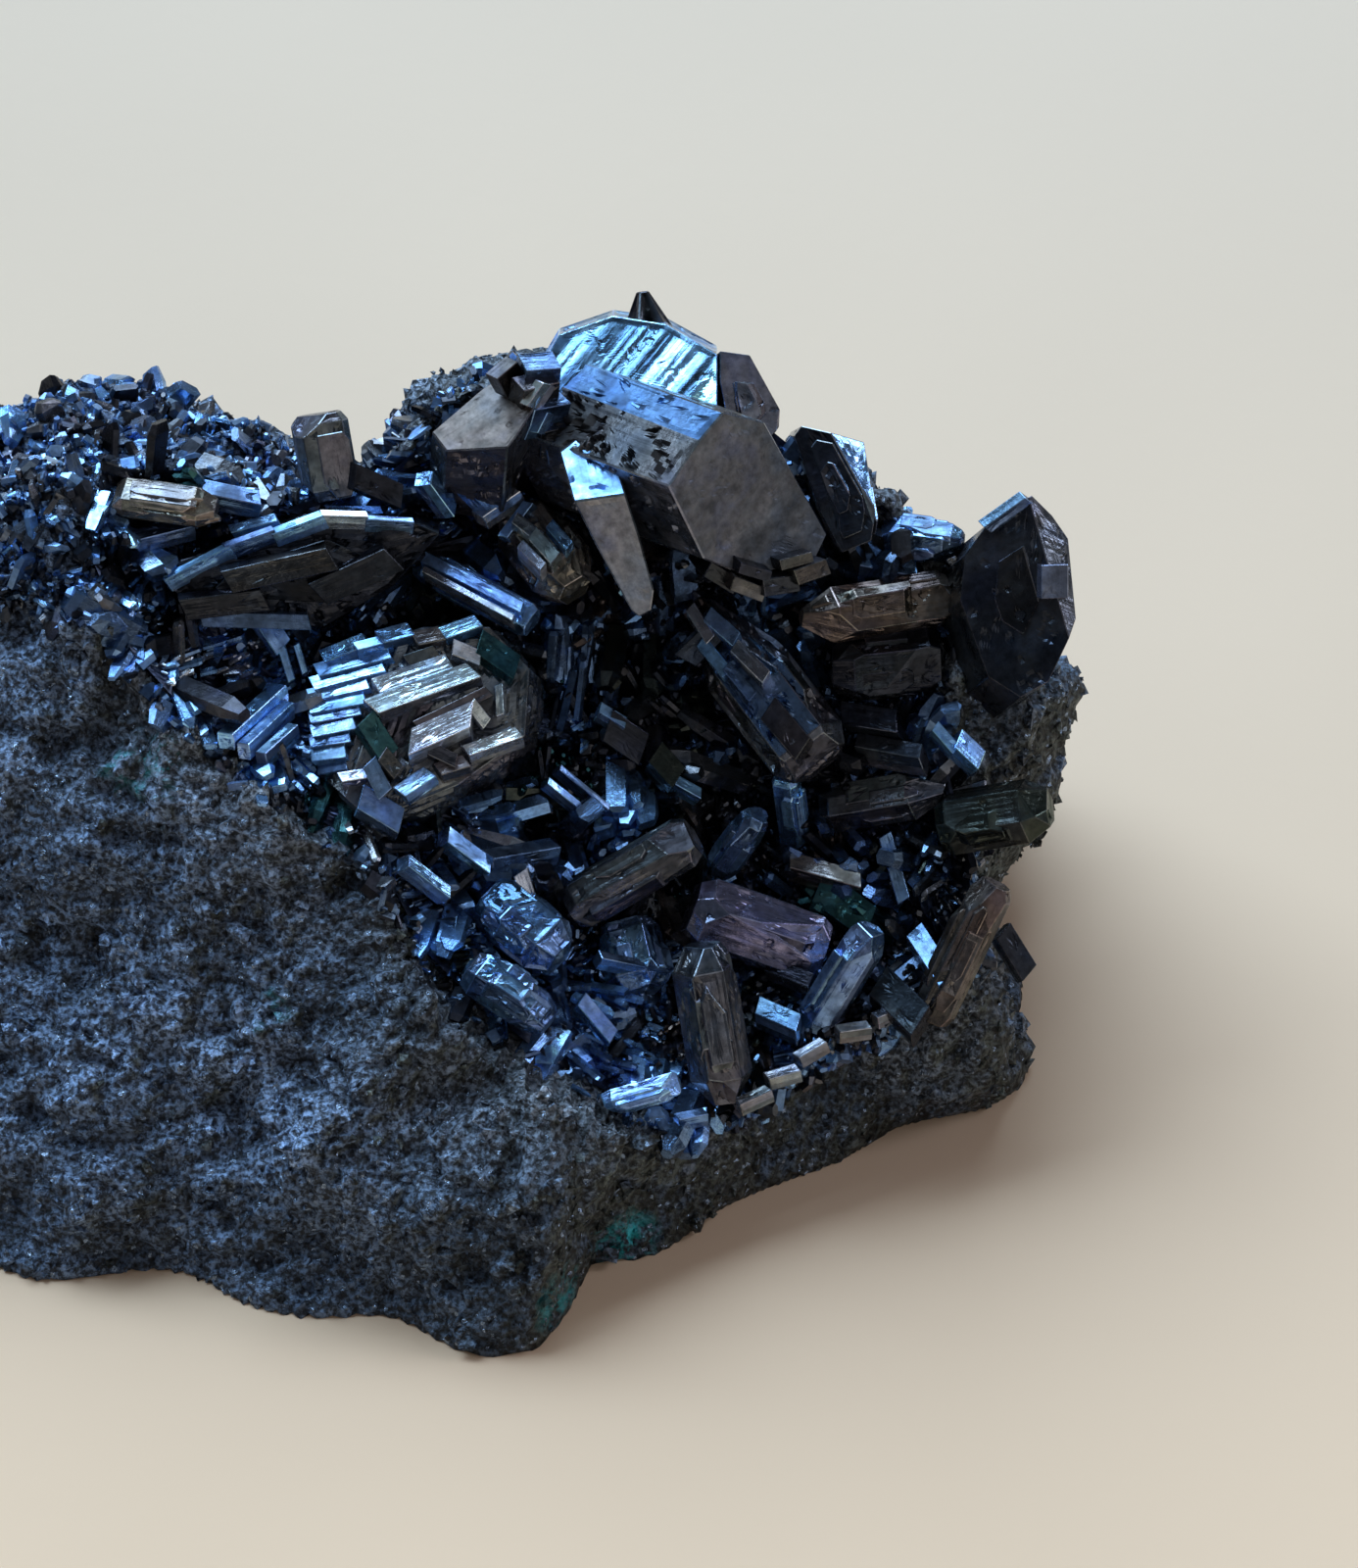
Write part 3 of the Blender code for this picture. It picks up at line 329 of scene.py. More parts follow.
@dataclass(frozen=True)
class SootyFinish:
    """Granular broken matrix: the mesh's own tone broken into grains, with painted shade in the pits that the bump
    sinks, glints and copper stain.

    Attributes:
        copper: Colour of the copper stain.
        glint: Colour of the grains that glint.
        stains: Places of the stain in display millimetres, with radii.
    """

    copper: Colour = colour(0.04, 0.8, 0.9)
    glint: Colour = colour(0.26, 0.33, 0.44)
    stains: tuple[Colour, ...] = (
        (-3.6, 4.6, -2.0, 3.6),
        (2.4, 7.8, -6.0, 3.0),
        (-30.8, 40.6, 3.0, 4.4),
        (15.3, 14.9, -16.0, 4.2),
        (-22.0, 24.0, 2.0, 3.0),
    )

    def material(self) -> Material:
        """Builds the material on Object coordinates and the mesh's tone."""
        bench = ShaderBench("sooty_matrix")
        place = bench.place()
        tone = bench.attribute("tarnish", "Color")
        crumbs = bench.cells(place, 1500.0)
        fine = bench.noise(place, 2300.0, 3.0, 0.7)
        patches = bench.noise(place, 120.0, 5.0, 0.62)
        # Painted shade: the grain is darkest at each cell's middle, where the bump below sinks a pit.
        pitted = bench.span(crumbs, 0.1, 0.42, 0.1, 1.15)
        grain = bench.sum(pitted, bench.span(fine, 0.43, 0.6, 0.18, 1.95), "MULTIPLY")
        grain = bench.sum(grain, bench.span(patches, 0.34, 0.68, 0.75, 1.25), "MULTIPLY")
        body = bench.blend(1.0, tone, grain, "MULTIPLY")
        for across, up, near, radius in self.stains:
            body = self.stain(bench, body, DISPLAY.place(np.array([across, up, near])), radius)
        cell = bench.cells(place, 3600.0, "Color")
        glints = bench.span(bench.noise(cell, 9.0, 0.0), 0.71, 0.75, 0.0, 1.0)
        body = bench.blend(glints, body, self.glint)
        rough = bench.span(glints, 0.0, 1.0, 0.6, 0.22)
        metal = bench.span(glints, 0.0, 1.0, 0.1, 0.9)
        normal = bench.relief(crumbs, 0.00045, 1.0)
        normal = bench.relief(fine, 0.00028, 1.0, normal)
        return bench.finish(body, rough, metal, normal, 0.5)

    def stain(self, bench: ShaderBench, body: Socket, centre: Array,
              radius: float) -> Socket:
        """Tints the body colour round one place, broken up by noise."""
        coordinates = bench.add("ShaderNodeTexCoord").outputs["Object"]
        away = bench.add("ShaderNodeVectorMath", {0: coordinates, 1: tuple(centre)}, operation="DISTANCE")
        near = bench.span(away.outputs["Value"], 0.0, radius * MM, 1.0, 0.0)
        speckle = bench.span(bench.noise(coordinates, 620.0, 5.0, 0.72), 0.48, 0.62, 0.0, 0.8)
        return bench.blend(bench.sum(near, speckle, "MULTIPLY"), body, self.copper)


@dataclass(frozen=True)
class LustreFinish:
    """Metallic crystal faces: colour and dullness come from the mesh, fine striations from its lines map.

    Attributes:
        name: The material's name.
        groove: Depth of the finest striations, in metres.
        smear: How far the tarnish strays from the face's own colour.
    """

    name: str
    groove: float = 0.00003
    smear: float = 0.5

    def material(self) -> Material:
        """Builds the material on the mesh's attributes, its lines map and Object coordinates."""
        bench = ShaderBench(self.name)
        place = bench.place()
        clouds = bench.noise(place, 190.0, 3.0, 0.6)
        mottle = bench.noise(place, 1500.0, 4.0, 0.65)
        own = bench.attribute("tarnish", "Color")
        shade = bench.blend(1.0, own, bench.span(mottle, 0.32, 0.68, 0.58, 1.28), "MULTIPLY")
        film = bench.add("ShaderNodeValToRGB", {"Fac": clouds})
        stops = ((0.36, (0.8, 1.00, 1.3)), (0.46, (1.0, 1.0, 1.0)),
                 (0.56, (1.1, 0.97, 0.92)), (0.66, (0.92, 0.92, 1.25)))
        while len(film.color_ramp.elements) < len(stops):
            film.color_ramp.elements.new(0.5)
        for element, (position, tint) in zip(film.color_ramp.elements, stops):
            element.position = position
            element.color = colour(*tint)
        shade = bench.blend(self.smear, shade, bench.blend(1.0, shade, film.outputs["Color"], "MULTIPLY"))
        soot = bench.attribute("dull", "Fac")
        dust = bench.span(bench.noise(place, 420.0, 5.0, 0.7), 0.5, 0.72, 0.0, 0.22)
        rough = bench.sum(bench.sum(bench.sum(soot, 0.5, "MULTIPLY"), 0.13), dust)
        metal = bench.span(soot, 0.0, 1.0, 0.96, 0.55)
        streaks = bench.noise(bench.place((5.5, 0.22, 1.0), uv=True), 1.0, 3.0, 0.6)
        lined = bench.relief(streaks, self.groove, 0.8)
        pitted = bench.relief(bench.noise(place, 2600.0, 3.0, 0.6), 0.00003, 0.7, lined)
        return bench.finish(shade, rough, metal, pitted)


class Tarnish(Enum):
    """Colours that the crystals' faces take, as metals; BRIGHT and PALE are blue tarnish lifted into painted
    reflection of the blue window light.
    """

    GUNMETAL = (0.13, 0.142, 0.165)
    STEEL = (0.15, 0.25, 0.43)
    # BRIGHT and PALE: painted reflection of the blue window light, over the crystals' own blue tarnish.
    BRIGHT = (0.27, 0.5, 0.86)
    PALE = (0.56, 0.62, 0.7)
    BRONZE = (0.13, 0.108, 0.098)
    TAN = (0.25, 0.225, 0.205)
    DRAB = (0.088, 0.088, 0.094)
    ASH = (0.3, 0.305, 0.33)
    AZURE = (0.075, 0.155, 0.3)
    OLIVE = (0.048, 0.058, 0.05)
    SOOT = (0.036, 0.04, 0.052)
    LAVENDER = (0.185, 0.195, 0.29)
    TEAL = (0.035, 0.11, 0.12)
    UMBER = (0.085, 0.062, 0.052)

    @classmethod
    def table(cls, *names: str) -> Array:
        """The named colours as rows."""
        return np.array([cls[name].value for name in names])


@dataclass(frozen=True)
class Vug:
    """The hollow of the specimen: its rim as seen from the front, its sloping mouth and its dished floor.

    Attributes:
        rim: Rim outline, across and up.
        mouth: The mouth plane's nearness at the frame's corner, and its slopes across and up.
        dish: Depth of the floor under the mouth, and how far in from the rim it takes.
        wall: Steepness of the wall outside the rim line.
        thickness: Thickness of the crust of small crystals, the share lost at the rim, and the run of that loss.
        ripple: Height of the crust's ripples, and radians per millimetre across and up.
    """

    rim: tuple[Pair, ...] = (
        (-34.0, 55.0), (-31.0, 48.0), (-26.5, 43.0), (-20.0, 37.7), (-14.3, 34.0), (-11.0, 27.5),
        (-7.0, 23.5), (-2.7, 20.3), (2.7, 17.2), (7.5, 15.8), (11.0, 17.4), (16.7, 21.8), (23.0, 23.9),
        (26.4, 28.0), (26.0, 34.0), (24.5, 40.5), (23.5, 47.5), (25.0, 52.5), (20.0, 56.5), (14.0, 62.0),
        (9.0, 66.0), (0.0, 67.5), (-8.0, 65.0), (-14.0, 59.8), (-20.5, 57.8), (-27.0, 60.3), (-33.0, 60.5),
    )
    mouth: Triple = (-4.1, -0.157, -0.028)
    dish: Pair = (8.5, 6.0)
    wall: float = 2.6
    thickness: Triple = (3.0, 0.6, 2.5)
    ripple: Triple = (0.55, 0.9, 0.8)

    def inside(self, across: Array, up: Array) -> Array:
        """Signed distance from the rim outline in millimetres, positive inside the vug."""
        start = np.array(self.rim)
        side = np.roll(start, -1, axis=0) - start
        spot = np.stack([across, up], axis=-1)
        gap = np.full(len(spot), 1e9)
        crossings = np.zeros(len(spot), int)
        for corner, edge in zip(start, side):
            share = np.clip((spot - corner) @ edge / (edge @ edge), 0.0, 1.0)
            gap = np.minimum(gap, np.linalg.norm(spot - corner - share[:, None] * edge, axis=1))
            straddles = (corner[1] > up) != (corner[1] + edge[1] > up)
            reach = corner[0] + (up - corner[1]) * edge[0] / (edge[1] if edge[1] else 1e-9)
            crossings += straddles & (across < reach)
        return np.where(crossings % 2 == 1, gap, -gap)

    def floor(self, across: Array, up: Array) -> Array:
        """Nearness of the floor: the mouth plane less a depth that grows away from the rim."""
        deep = 1.0 - np.exp(-np.maximum(self.inside(across, up), 0.0) / self.dish[1])
        return self.mouth[0] + self.mouth[1] * across + self.mouth[2] * up - self.dish[0] * deep

    def crust(self, across: Array, up: Array) -> Array:
        """Nearness of the crust's top: the floor and a thickness that thins towards the rim, rippled by sines."""
        full, lost, run = self.thickness
        depth_in = np.maximum(self.inside(across, up), 0.0)
        height, pitch_across, pitch_up = self.ripple
        ripple = height * np.sin(across * pitch_across) * np.sin(up * pitch_up) * np.minimum(depth_in / run, 1.0)
        return self.floor(across, up) + full * (1.0 - lost * np.exp(-depth_in / run)) + ripple


VUG = Vug()


@dataclass
class MatrixBlock:
    """The block of sooty granular matrix: break faces round a heart point, lumps, lobes, the vug and a flat base.

    Attributes:
        heart: Point deep in the block that its surface is drawn out from, in row axes and millimetres.
        faces: Outward direction of each break face and a point on it.
        front_right: The face behind which the body of the block lies.
        toe: Faces of the toe that juts out past the front right face.
        sharpness: Power of the soft minimum that joins the faces.
        lobes: Across, up, radius and height of swellings and pits on the front.
        rows: Rows of the surface between the poles.
        columns: Columns round the near axis.
        lobe_fall: How sharply a lobe falls away.
        lobe_front: Nearness from which the lobes count.
        lump_seed: Which lumps.
        lump_waves: How many plane waves the lumps are the sum of.
        lump_lengths: Shortest and longest wave.
        lump_height: Height of one wave.
        clod_layers: Height, pitch and scatter of each layer of clods.
        crumb_counts: Crumbs on the front and on the rest.
        crumb_sizes: Middle size of a crumb on the front and on the rest.
        middle_tone: Colour of the break; the next three are those at the left, round the rim and on the split face.
    """

    heart: Triple = (-2.0, 40.0, 8.0)
    faces: tuple = (
        ((-0.2, -0.76, 0.62), (-8.0, 0.0, 0.0)),
        ((0.38, -0.62, 0.69), (26.0, 36.0, 25.4)),
        ((0.97, -0.1, -0.05), (29.4, 28.0, 6.0)),
        ((0.86, 0.42, 0.25), (30.5, 42.0, 20.0)),
        ((0.45, 0.74, 0.5), (22.3, 50.2, 28.2)),
        ((0.06, 0.9, 0.42), (2.0, 57.0, 39.5)),
        ((0.02, 0.99, -0.1), (-10.0, 58.0, 14.0)),
        ((-0.1, 0.3, 0.95), (-30.0, 50.0, 40.3)),
        ((-0.62, -0.05, 0.78), (-50.0, 30.0, 33.0)),
        ((-0.97, -0.15, 0.1), (-60.0, 26.0, 14.0)),
        ((-0.72, -0.62, 0.3), (-52.0, 12.0, 9.0)),
        ((-0.6, 0.78, 0.1), (-53.0, 48.0, 14.0)),
        ((0.0, 0.0, -1.0), (0.0, 0.0, -2.4)),
    )
    front_right: tuple = (((0.5, -0.86, 0.07), (6.7, 12.7, 0.0)),)
    toe: tuple = (
        ((0.1, -0.97, 0.2), (-7.0, -0.2, 0.0)),
        ((0.93, -0.33, 0.15), (-2.3, 1.8, 0.0)),
    )
    sharpness: float = 24.0
    lobes: tuple = (
        (-34.5, 17.0, 9.0, 2.6), (-19.0, 15.5, 7.0, 2.0), (-9.0, 9.0, 8.0, 1.4), (-26.3, 16.5, 2.6, -2.6),
        (-39.5, 27.0, 4.5, -3.0), (-39.0, 50.0, 1.6, -1.8), (-22.0, 29.0, 9.0, -1.2), (-33.0, 36.0, 8.0, 1.2),
        (-12.0, 17.0, 3.0, -1.0), (-2.0, 12.0, 5.0, 1.2), (-47.0, 38.0, 9.0, 1.5), (-50.0, 18.0, 8.0, 1.8),
        (29.0, 44.5, 5.0, 2.6), (-20.5, 66.0, 9.5, -7.5), (-28.5, 3.0, 6.5, -3.4), (31.0, 32.0, 6.5, -4.5),
        (28.5, 17.0, 5.0, 2.5),
    )
    lobe_fall: float = 1.5
    lobe_front: float = -34.0
    lump_seed: int = 11
    lump_waves: int = 14
    lump_lengths: Pair = (7.0, 22.0)
    lump_height: float = 0.34
    rows: int = 204
    columns: int = 480
    clod_layers: tuple = ((0.85, 5.4, 121), (0.7, 2.3, 131))
    crumb_counts: tuple[int, int] = (6500, 9000)
    crumb_sizes: Pair = (0.28, 0.38)
    middle_tone: Triple = (0.066, 0.098, 0.152)
    left_tone: Triple = (0.118, 0.175, 0.285)
    rim_tone: Triple = (0.115, 0.124, 0.136)
    split_tone: Triple = (0.05, 0.057, 0.051)
    skin_points: Array = field(default=None, repr=False)
    skin_normals: Array = field(default=None, repr=False)
    skin_tones: Array = field(default=None, repr=False)
    skin_relief: Array = field(default=None, repr=False)

    def reach(self, rays: Array, faces: tuple) -> Array:
        """Soft minimum of the distances at which each ray meets the faces: a power mean of their inverses."""
        heart = np.array(self.heart)
        normals = unit(np.array([normal for normal, _ in faces]))
        distances = ((np.array([point for _, point in faces]) - heart) * normals).sum(1)
        closeness = np.maximum(rays @ normals.T, 0.0) / distances
        return (closeness ** self.sharpness).sum(1) ** (-1.0 / self.sharpness)

    def lumps(self, points: Array) -> Array:
        """Rounded unevenness: a sum of plane waves in seeded directions."""
        dice = np.random.default_rng(self.lump_seed)
        directions = unit(dice.normal(size=(self.lump_waves, 3)))
        lengths = dice.uniform(*self.lump_lengths, size=self.lump_waves)
        phases = dice.uniform(0, 2 * math.pi, size=self.lump_waves)
        return self.lump_height * np.sin(2 * math.pi * points @ directions.T / lengths + phases).sum(1)

    def surface(self, rays: Array) -> Array:
        """Display points of the block along rays from its heart, given in row axes."""
        heart = np.array(self.heart)
        radius = np.maximum(self.reach(rays, self.faces + self.front_right), self.reach(rays, self.faces + self.toe))
        across, up, near = ((heart + rays * radius[:, None]) @ DISPLAY.axes).T
        radius = radius + self.lumps(heart + rays * radius[:, None])
        for lobe_across, lobe_up, size, height in self.lobes:
            away = ((across - lobe_across) ** 2 + (up - lobe_up) ** 2) / size ** 2
            radius = radius + np.where(near > self.lobe_front, height * np.exp(-away * self.lobe_fall), 0.0)
        radius = np.minimum(radius, heart[2] / np.maximum(-rays[:, 2], 1e-6))
        across, up, near = ((heart + rays * radius[:, None]) @ DISPLAY.axes).T
        wall = VUG.floor(across, up) + self.wall_rise(across, up)
        return np.column_stack([across, up, np.minimum(near, wall)])

    def wall_rise(self, across: Array, up: Array) -> Array:
        """How far the vug's wall has risen outside the rim line."""
        return VUG.wall * np.maximum(-VUG.inside(across, up), 0.0)

    def ray_grid(self) -> Array:
        """Rays in row axes on a grid round the near axis, with its rows crowded where the front shows."""
        stops = np.array([0.0, 0.14, 0.8, 1.0])
        angles = np.radians([1.0, 40.0, 104.0, 179.0])
        polar = np.interp(np.linspace(0, 1, self.rows), stops, angles)[:, None]
        turn = (np.arange(self.columns) / self.columns * 2 * math.pi)[None, :]
        grid = np.stack([np.sin(polar) * np.cos(turn), np.sin(polar) * np.sin(turn), np.cos(polar) + 0 * turn], -1)
        return grid.reshape(-1, 3) @ DISPLAY.axes.T

    def grained(self, points: Array, normals: Array) -> Array:
        """Adds the break's grain: noise lumps, ledges of broken grain and crumbs, kept off the base and the vug."""
        coarse = layered_noise(points, 5.0, 3, 21)
        hollow = smooth_step((layered_noise(points, 3.2, 3, 71) - 0.45) * 2.2)
        domes, second, tone = cell_noise(points, 1.3, 31)
        small, _, small_tone = cell_noise(points, 0.62, 47)
        crumbs = 0.34 * (0.75 - domes) + 0.28 * tone - 0.24 * np.exp(-(second - domes) * 9.0)
        warp = np.stack([layered_noise(points, 3.1, 3, seed) for seed in (201, 211, 221)], -1)
        lumps = sum(share * self.clods(points + 0.9 * warp, pitch, seed)
                    for share, pitch, seed in self.clod_layers)
        height = 0.45 * coarse - 0.9 * hollow + crumbs + 0.17 * (0.7 - small) + 0.12 * small_tone + lumps - 0.75
        height = height * (1.0 - 0.45 * self.split_face(normals))
        across, up = points[:, 0], points[:, 1]
        outside = smooth_step(-VUG.inside(across, up) / 1.2 + 0.4) + (points[:, 2] < VUG.floor(across, up) - 0.5)
        low = smooth_step(DISPLAY.height(points) / 1.5)
        self.skin_relief = height
        return points + normals * (height * np.minimum(outside, 1.0) * low)[:, None]

    def clods(self, points: Array, pitch: float, seed: int) -> Array:
        """Rounded clods of differing heights with creases between them, from the two nearest seeds' distances."""
        nearest, second, tone = cell_noise(points, pitch, seed)
        return (0.35 + 0.65 * tone) * smooth_step((second - nearest) * 2.4) * (1.15 - 0.5 * nearest)

    def split_face(self, normals: Array) -> Array:
        """How much a place belongs to the smoother split face under the vug's right half, from 0 to 1."""
        return smooth_step((normals[:, 0] - 0.15) * 3.0) * smooth_step(0.6 - normals[:, 1] * 3.0)

    def tones(self, points: Array, normals: Array) -> Array:
        """Surface colour: blue-grey at the left, greyer towards the rim, dull green-black on the split face, with
        painted shade in the relief's hollows and towards the table.
        """
        across, up = points[:, 0], points[:, 1]
        cloud = layered_noise(points, 8.0, 4, 91)[:, None]
        left = smooth_step((-across - 4.0) / 26.0 + 0.25 * cloud[:, 0])[:, None]
        rim = np.exp(-np.maximum(-VUG.inside(across, up), 0.0) / 6.0)[:, None] * smooth_step(0.7 + cloud)
        split = self.split_face(normals)[:, None]
        tone = np.array(self.middle_tone)
        for share, other in ((left, self.left_tone), (rim, self.rim_tone), (split, self.split_tone)):
            tone = tone * (1 - share) + np.array(other) * share
        # Painted shade: the colour darkens towards the table, down to 0.72 at the base.
        low = smooth_step(DISPLAY.height(points) / 9.0)[:, None]
        # Painted shade and light: darker in the hollows of the relief, lighter on the tops of the lumps.
        soot_and_shade = 0.55 + 0.65 * smooth_step((self.skin_relief[:, None] + 0.8) / 1.5)
        return tone * (0.72 + 0.28 * low) * (1.0 + 0.2 * cloud) * soot_and_shade

    def build(self, look: Material) -> None:
        """Makes the rock and its coats of crumbs.

        Args:
            look: The sooty material.
        """
        shape = (self.rows, self.columns)
        points = self.surface(self.ray_grid())
        points = self.grained(points, self.grid_normals(points, shape))
        row = points @ DISPLAY.axes.T
        row[:, 2] = np.maximum(row[:, 2], 0.0)
        points = row @ DISPLAY.axes
        self.skin_points = points
        self.skin_normals = self.grid_normals(points, shape)
        poles = points.reshape(*shape, 3)[[0, -1]].mean(1)
        quads = grid_quads(*shape)
        ring = np.arange(self.columns)
        following, last = (ring + 1) % self.columns, (self.rows - 1) * self.columns
        caps = [fan(following, ring, len(points)), fan(ring + last, following + last, len(points) + 1)]
        faces = [quads[:, ::-1], np.vstack(caps)[:, ::-1]]
        order = corner_order(faces)
        self.skin_tones = self.tones(points, self.skin_normals)
        tones = np.vstack([self.skin_tones, self.skin_tones[[0, -1]]])
        every = np.vstack([points, poles])
        skin = Skin(tones[order], np.zeros(len(order)), every[order][:, :2])
        rock = make_piece("matrix_rock", DISPLAY.place(every), faces, look, skin, smooth=True)
        attach(rock, "matrix", "matrix")
        self.scatter_crumbs(look)

    def grid_normals(self, points: Array, shape: tuple[int, int]) -> Array:
        """Outward normals of the grid: the cross product of its two directions."""
        grid = points.reshape(*shape, 3)
        down = np.gradient(grid, axis=0)
        around = np.roll(grid, -1, axis=1) - np.roll(grid, 1, axis=1)
        normals = unit(np.cross(down, around)).reshape(-1, 3)
        outward = points - np.array(self.heart) @ DISPLAY.axes
        return normals * np.sign((normals * outward).sum(1).mean())

    def scatter_crumbs(self, look: Material) -> None:
        """Coats the break with loose-looking crumbs: flattened octahedra set at random into the surface."""
        dice = np.random.default_rng(5)
        grid = self.skin_points.reshape(self.rows, self.columns, 3)
        area = np.linalg.norm(np.cross(np.gradient(grid, axis=0), np.gradient(grid, axis=1)), axis=-1).ravel()
        across, up, near = self.skin_points.T
        inside = VUG.inside(across, up)
        hollow = (inside > 0.3) & (near > VUG.floor(across, up) - 0.6)
        base = DISPLAY.height(self.skin_points) < 0.35
        front = self.skin_normals[:, 2] > -0.1
        for name, side, count, middle in zip(("front", "rear"), (front, ~front), self.crumb_counts, self.crumb_sizes):
            weight = area * side * ~hollow * ~base
            chosen = dice.choice(len(weight), size=count, p=weight / weight.sum())
            size = np.exp(dice.normal(math.log(middle), 0.55, size=count))
            self.crumb_piece(f"matrix_grains_{name}", chosen, np.clip(size, 0.12, 0.95), dice, look)

    def crumb_piece(self, name: str, chosen: Array, size: Array, dice: Dice,
                    look: Material) -> None:
        """One coat of crumbs, each an octahedron stretched along its own three axes."""
        count = len(chosen)
        turns = random_turns(dice, count)
        stretch = dice.uniform(0.55, 1.25, size=(count, 1, 3)) * size[:, None, None]
        corners = np.array([(1, 0, 0), (-1, 0, 0), (0, 1, 0), (0, -1, 0), (0, 0, 1), (0, 0, -1)], float)
        jitter = dice.uniform(-0.25, 0.25, size=(count, 6, 3)) * size[:, None, None]
        local = np.einsum("nij,nkj->nki", turns, corners * stretch + jitter)
        sink = dice.uniform(-0.6, 0.0, size=count) * size
        centres = self.skin_points[chosen] + self.skin_normals[chosen] * sink[:, None]
        centres += dice.normal(size=(count, 3)) * 0.1
        points = centres[:, None, :] + local
        lift = np.minimum(DISPLAY.height(points).min(1) - 0.02, 0.0)
        points -= lift[:, None, None] * DISPLAY.axes[2]
        facets = np.array([(0, 2, 4), (2, 1, 4), (1, 3, 4), (3, 0, 4), (2, 0, 5), (1, 2, 5), (3, 1, 5), (0, 3, 5)])
        faces = (np.arange(count)[:, None, None] * 6 + facets).reshape(-1, 3)
        tones = self.skin_tones[chosen] * np.exp(dice.normal(0.0, 0.35, size=(count, 1)))
        skin = Skin(np.repeat(tones, 24, axis=0), np.zeros(count * 24), points.reshape(-1, 3)[faces.ravel()][:, :2])
        attach(make_piece(name, DISPLAY.place(points.reshape(-1, 3)), [faces], look, skin), "matrix")


def random_turns(dice: Dice, count: int) -> Array:
    """Random rotation matrices, from random unit quaternions."""
    w, x, y, z = unit(dice.normal(size=(count, 4))).T
    rows = (
        (1 - 2 * (y * y + z * z), 2 * (x * y - z * w), 2 * (x * z + y * w)),
        (2 * (x * y + z * w), 1 - 2 * (x * x + z * z), 2 * (y * z - x * w)),
        (2 * (x * z - y * w), 2 * (y * z + x * w), 1 - 2 * (x * x + y * y)),
    )
    return np.moveaxis(np.array(rows), 2, 0)


@dataclass(frozen=True)
class Growth:
    """How a crystal's faces grew.

    Attributes:
        pitch: Distance between striations, in millimetres.
        depth: Depth of the striations.
        terrace: Height of one growth step.
        tread: Width of one growth step.
        wander: How far a step's edge wanders.
        pits: Depth of etch pits.
        bands: How strongly bands of other brightness run along the striations: painted streaks of reflected light.
        bevel: How much of each edge is cut off, in millimetres.
        cell: Size of one cell of the face's grid.
    """

    pitch: float = 0.32
    depth: float = 0.06
    terrace: float = 0.0
    tread: float = 1.1
    wander: float = 0.8
    pits: float = 0.03
    bands: float = 0.35
    bevel: float = 0.05
    cell: float = 0.27


PLATE_GROWTH = Growth(0.22, 0.035, 0.0, 1.0, 0.4, 0.015, 0.25, 0.045, 0.3)


@dataclass(frozen=True)
class FaceTint:
    """A colour, a dullness and a strength of the pits for the faces that look nearly in a direction."""

    towards: Triple
    tarnish: Tarnish
    dull: float = 0.15
    closeness: float = 0.965
    pitted: float = 1.0


def squared_axes(length: Array, facing: tuple) -> tuple[Array, Array, Array]:
    """Unit vectors along a length, out of the broad face squared to it, and across."""
    along = unit(length)
    facing = np.asarray(facing, float)
    facing = unit(facing - along * (facing @ along))
    return along, facing, np.cross(facing, along)


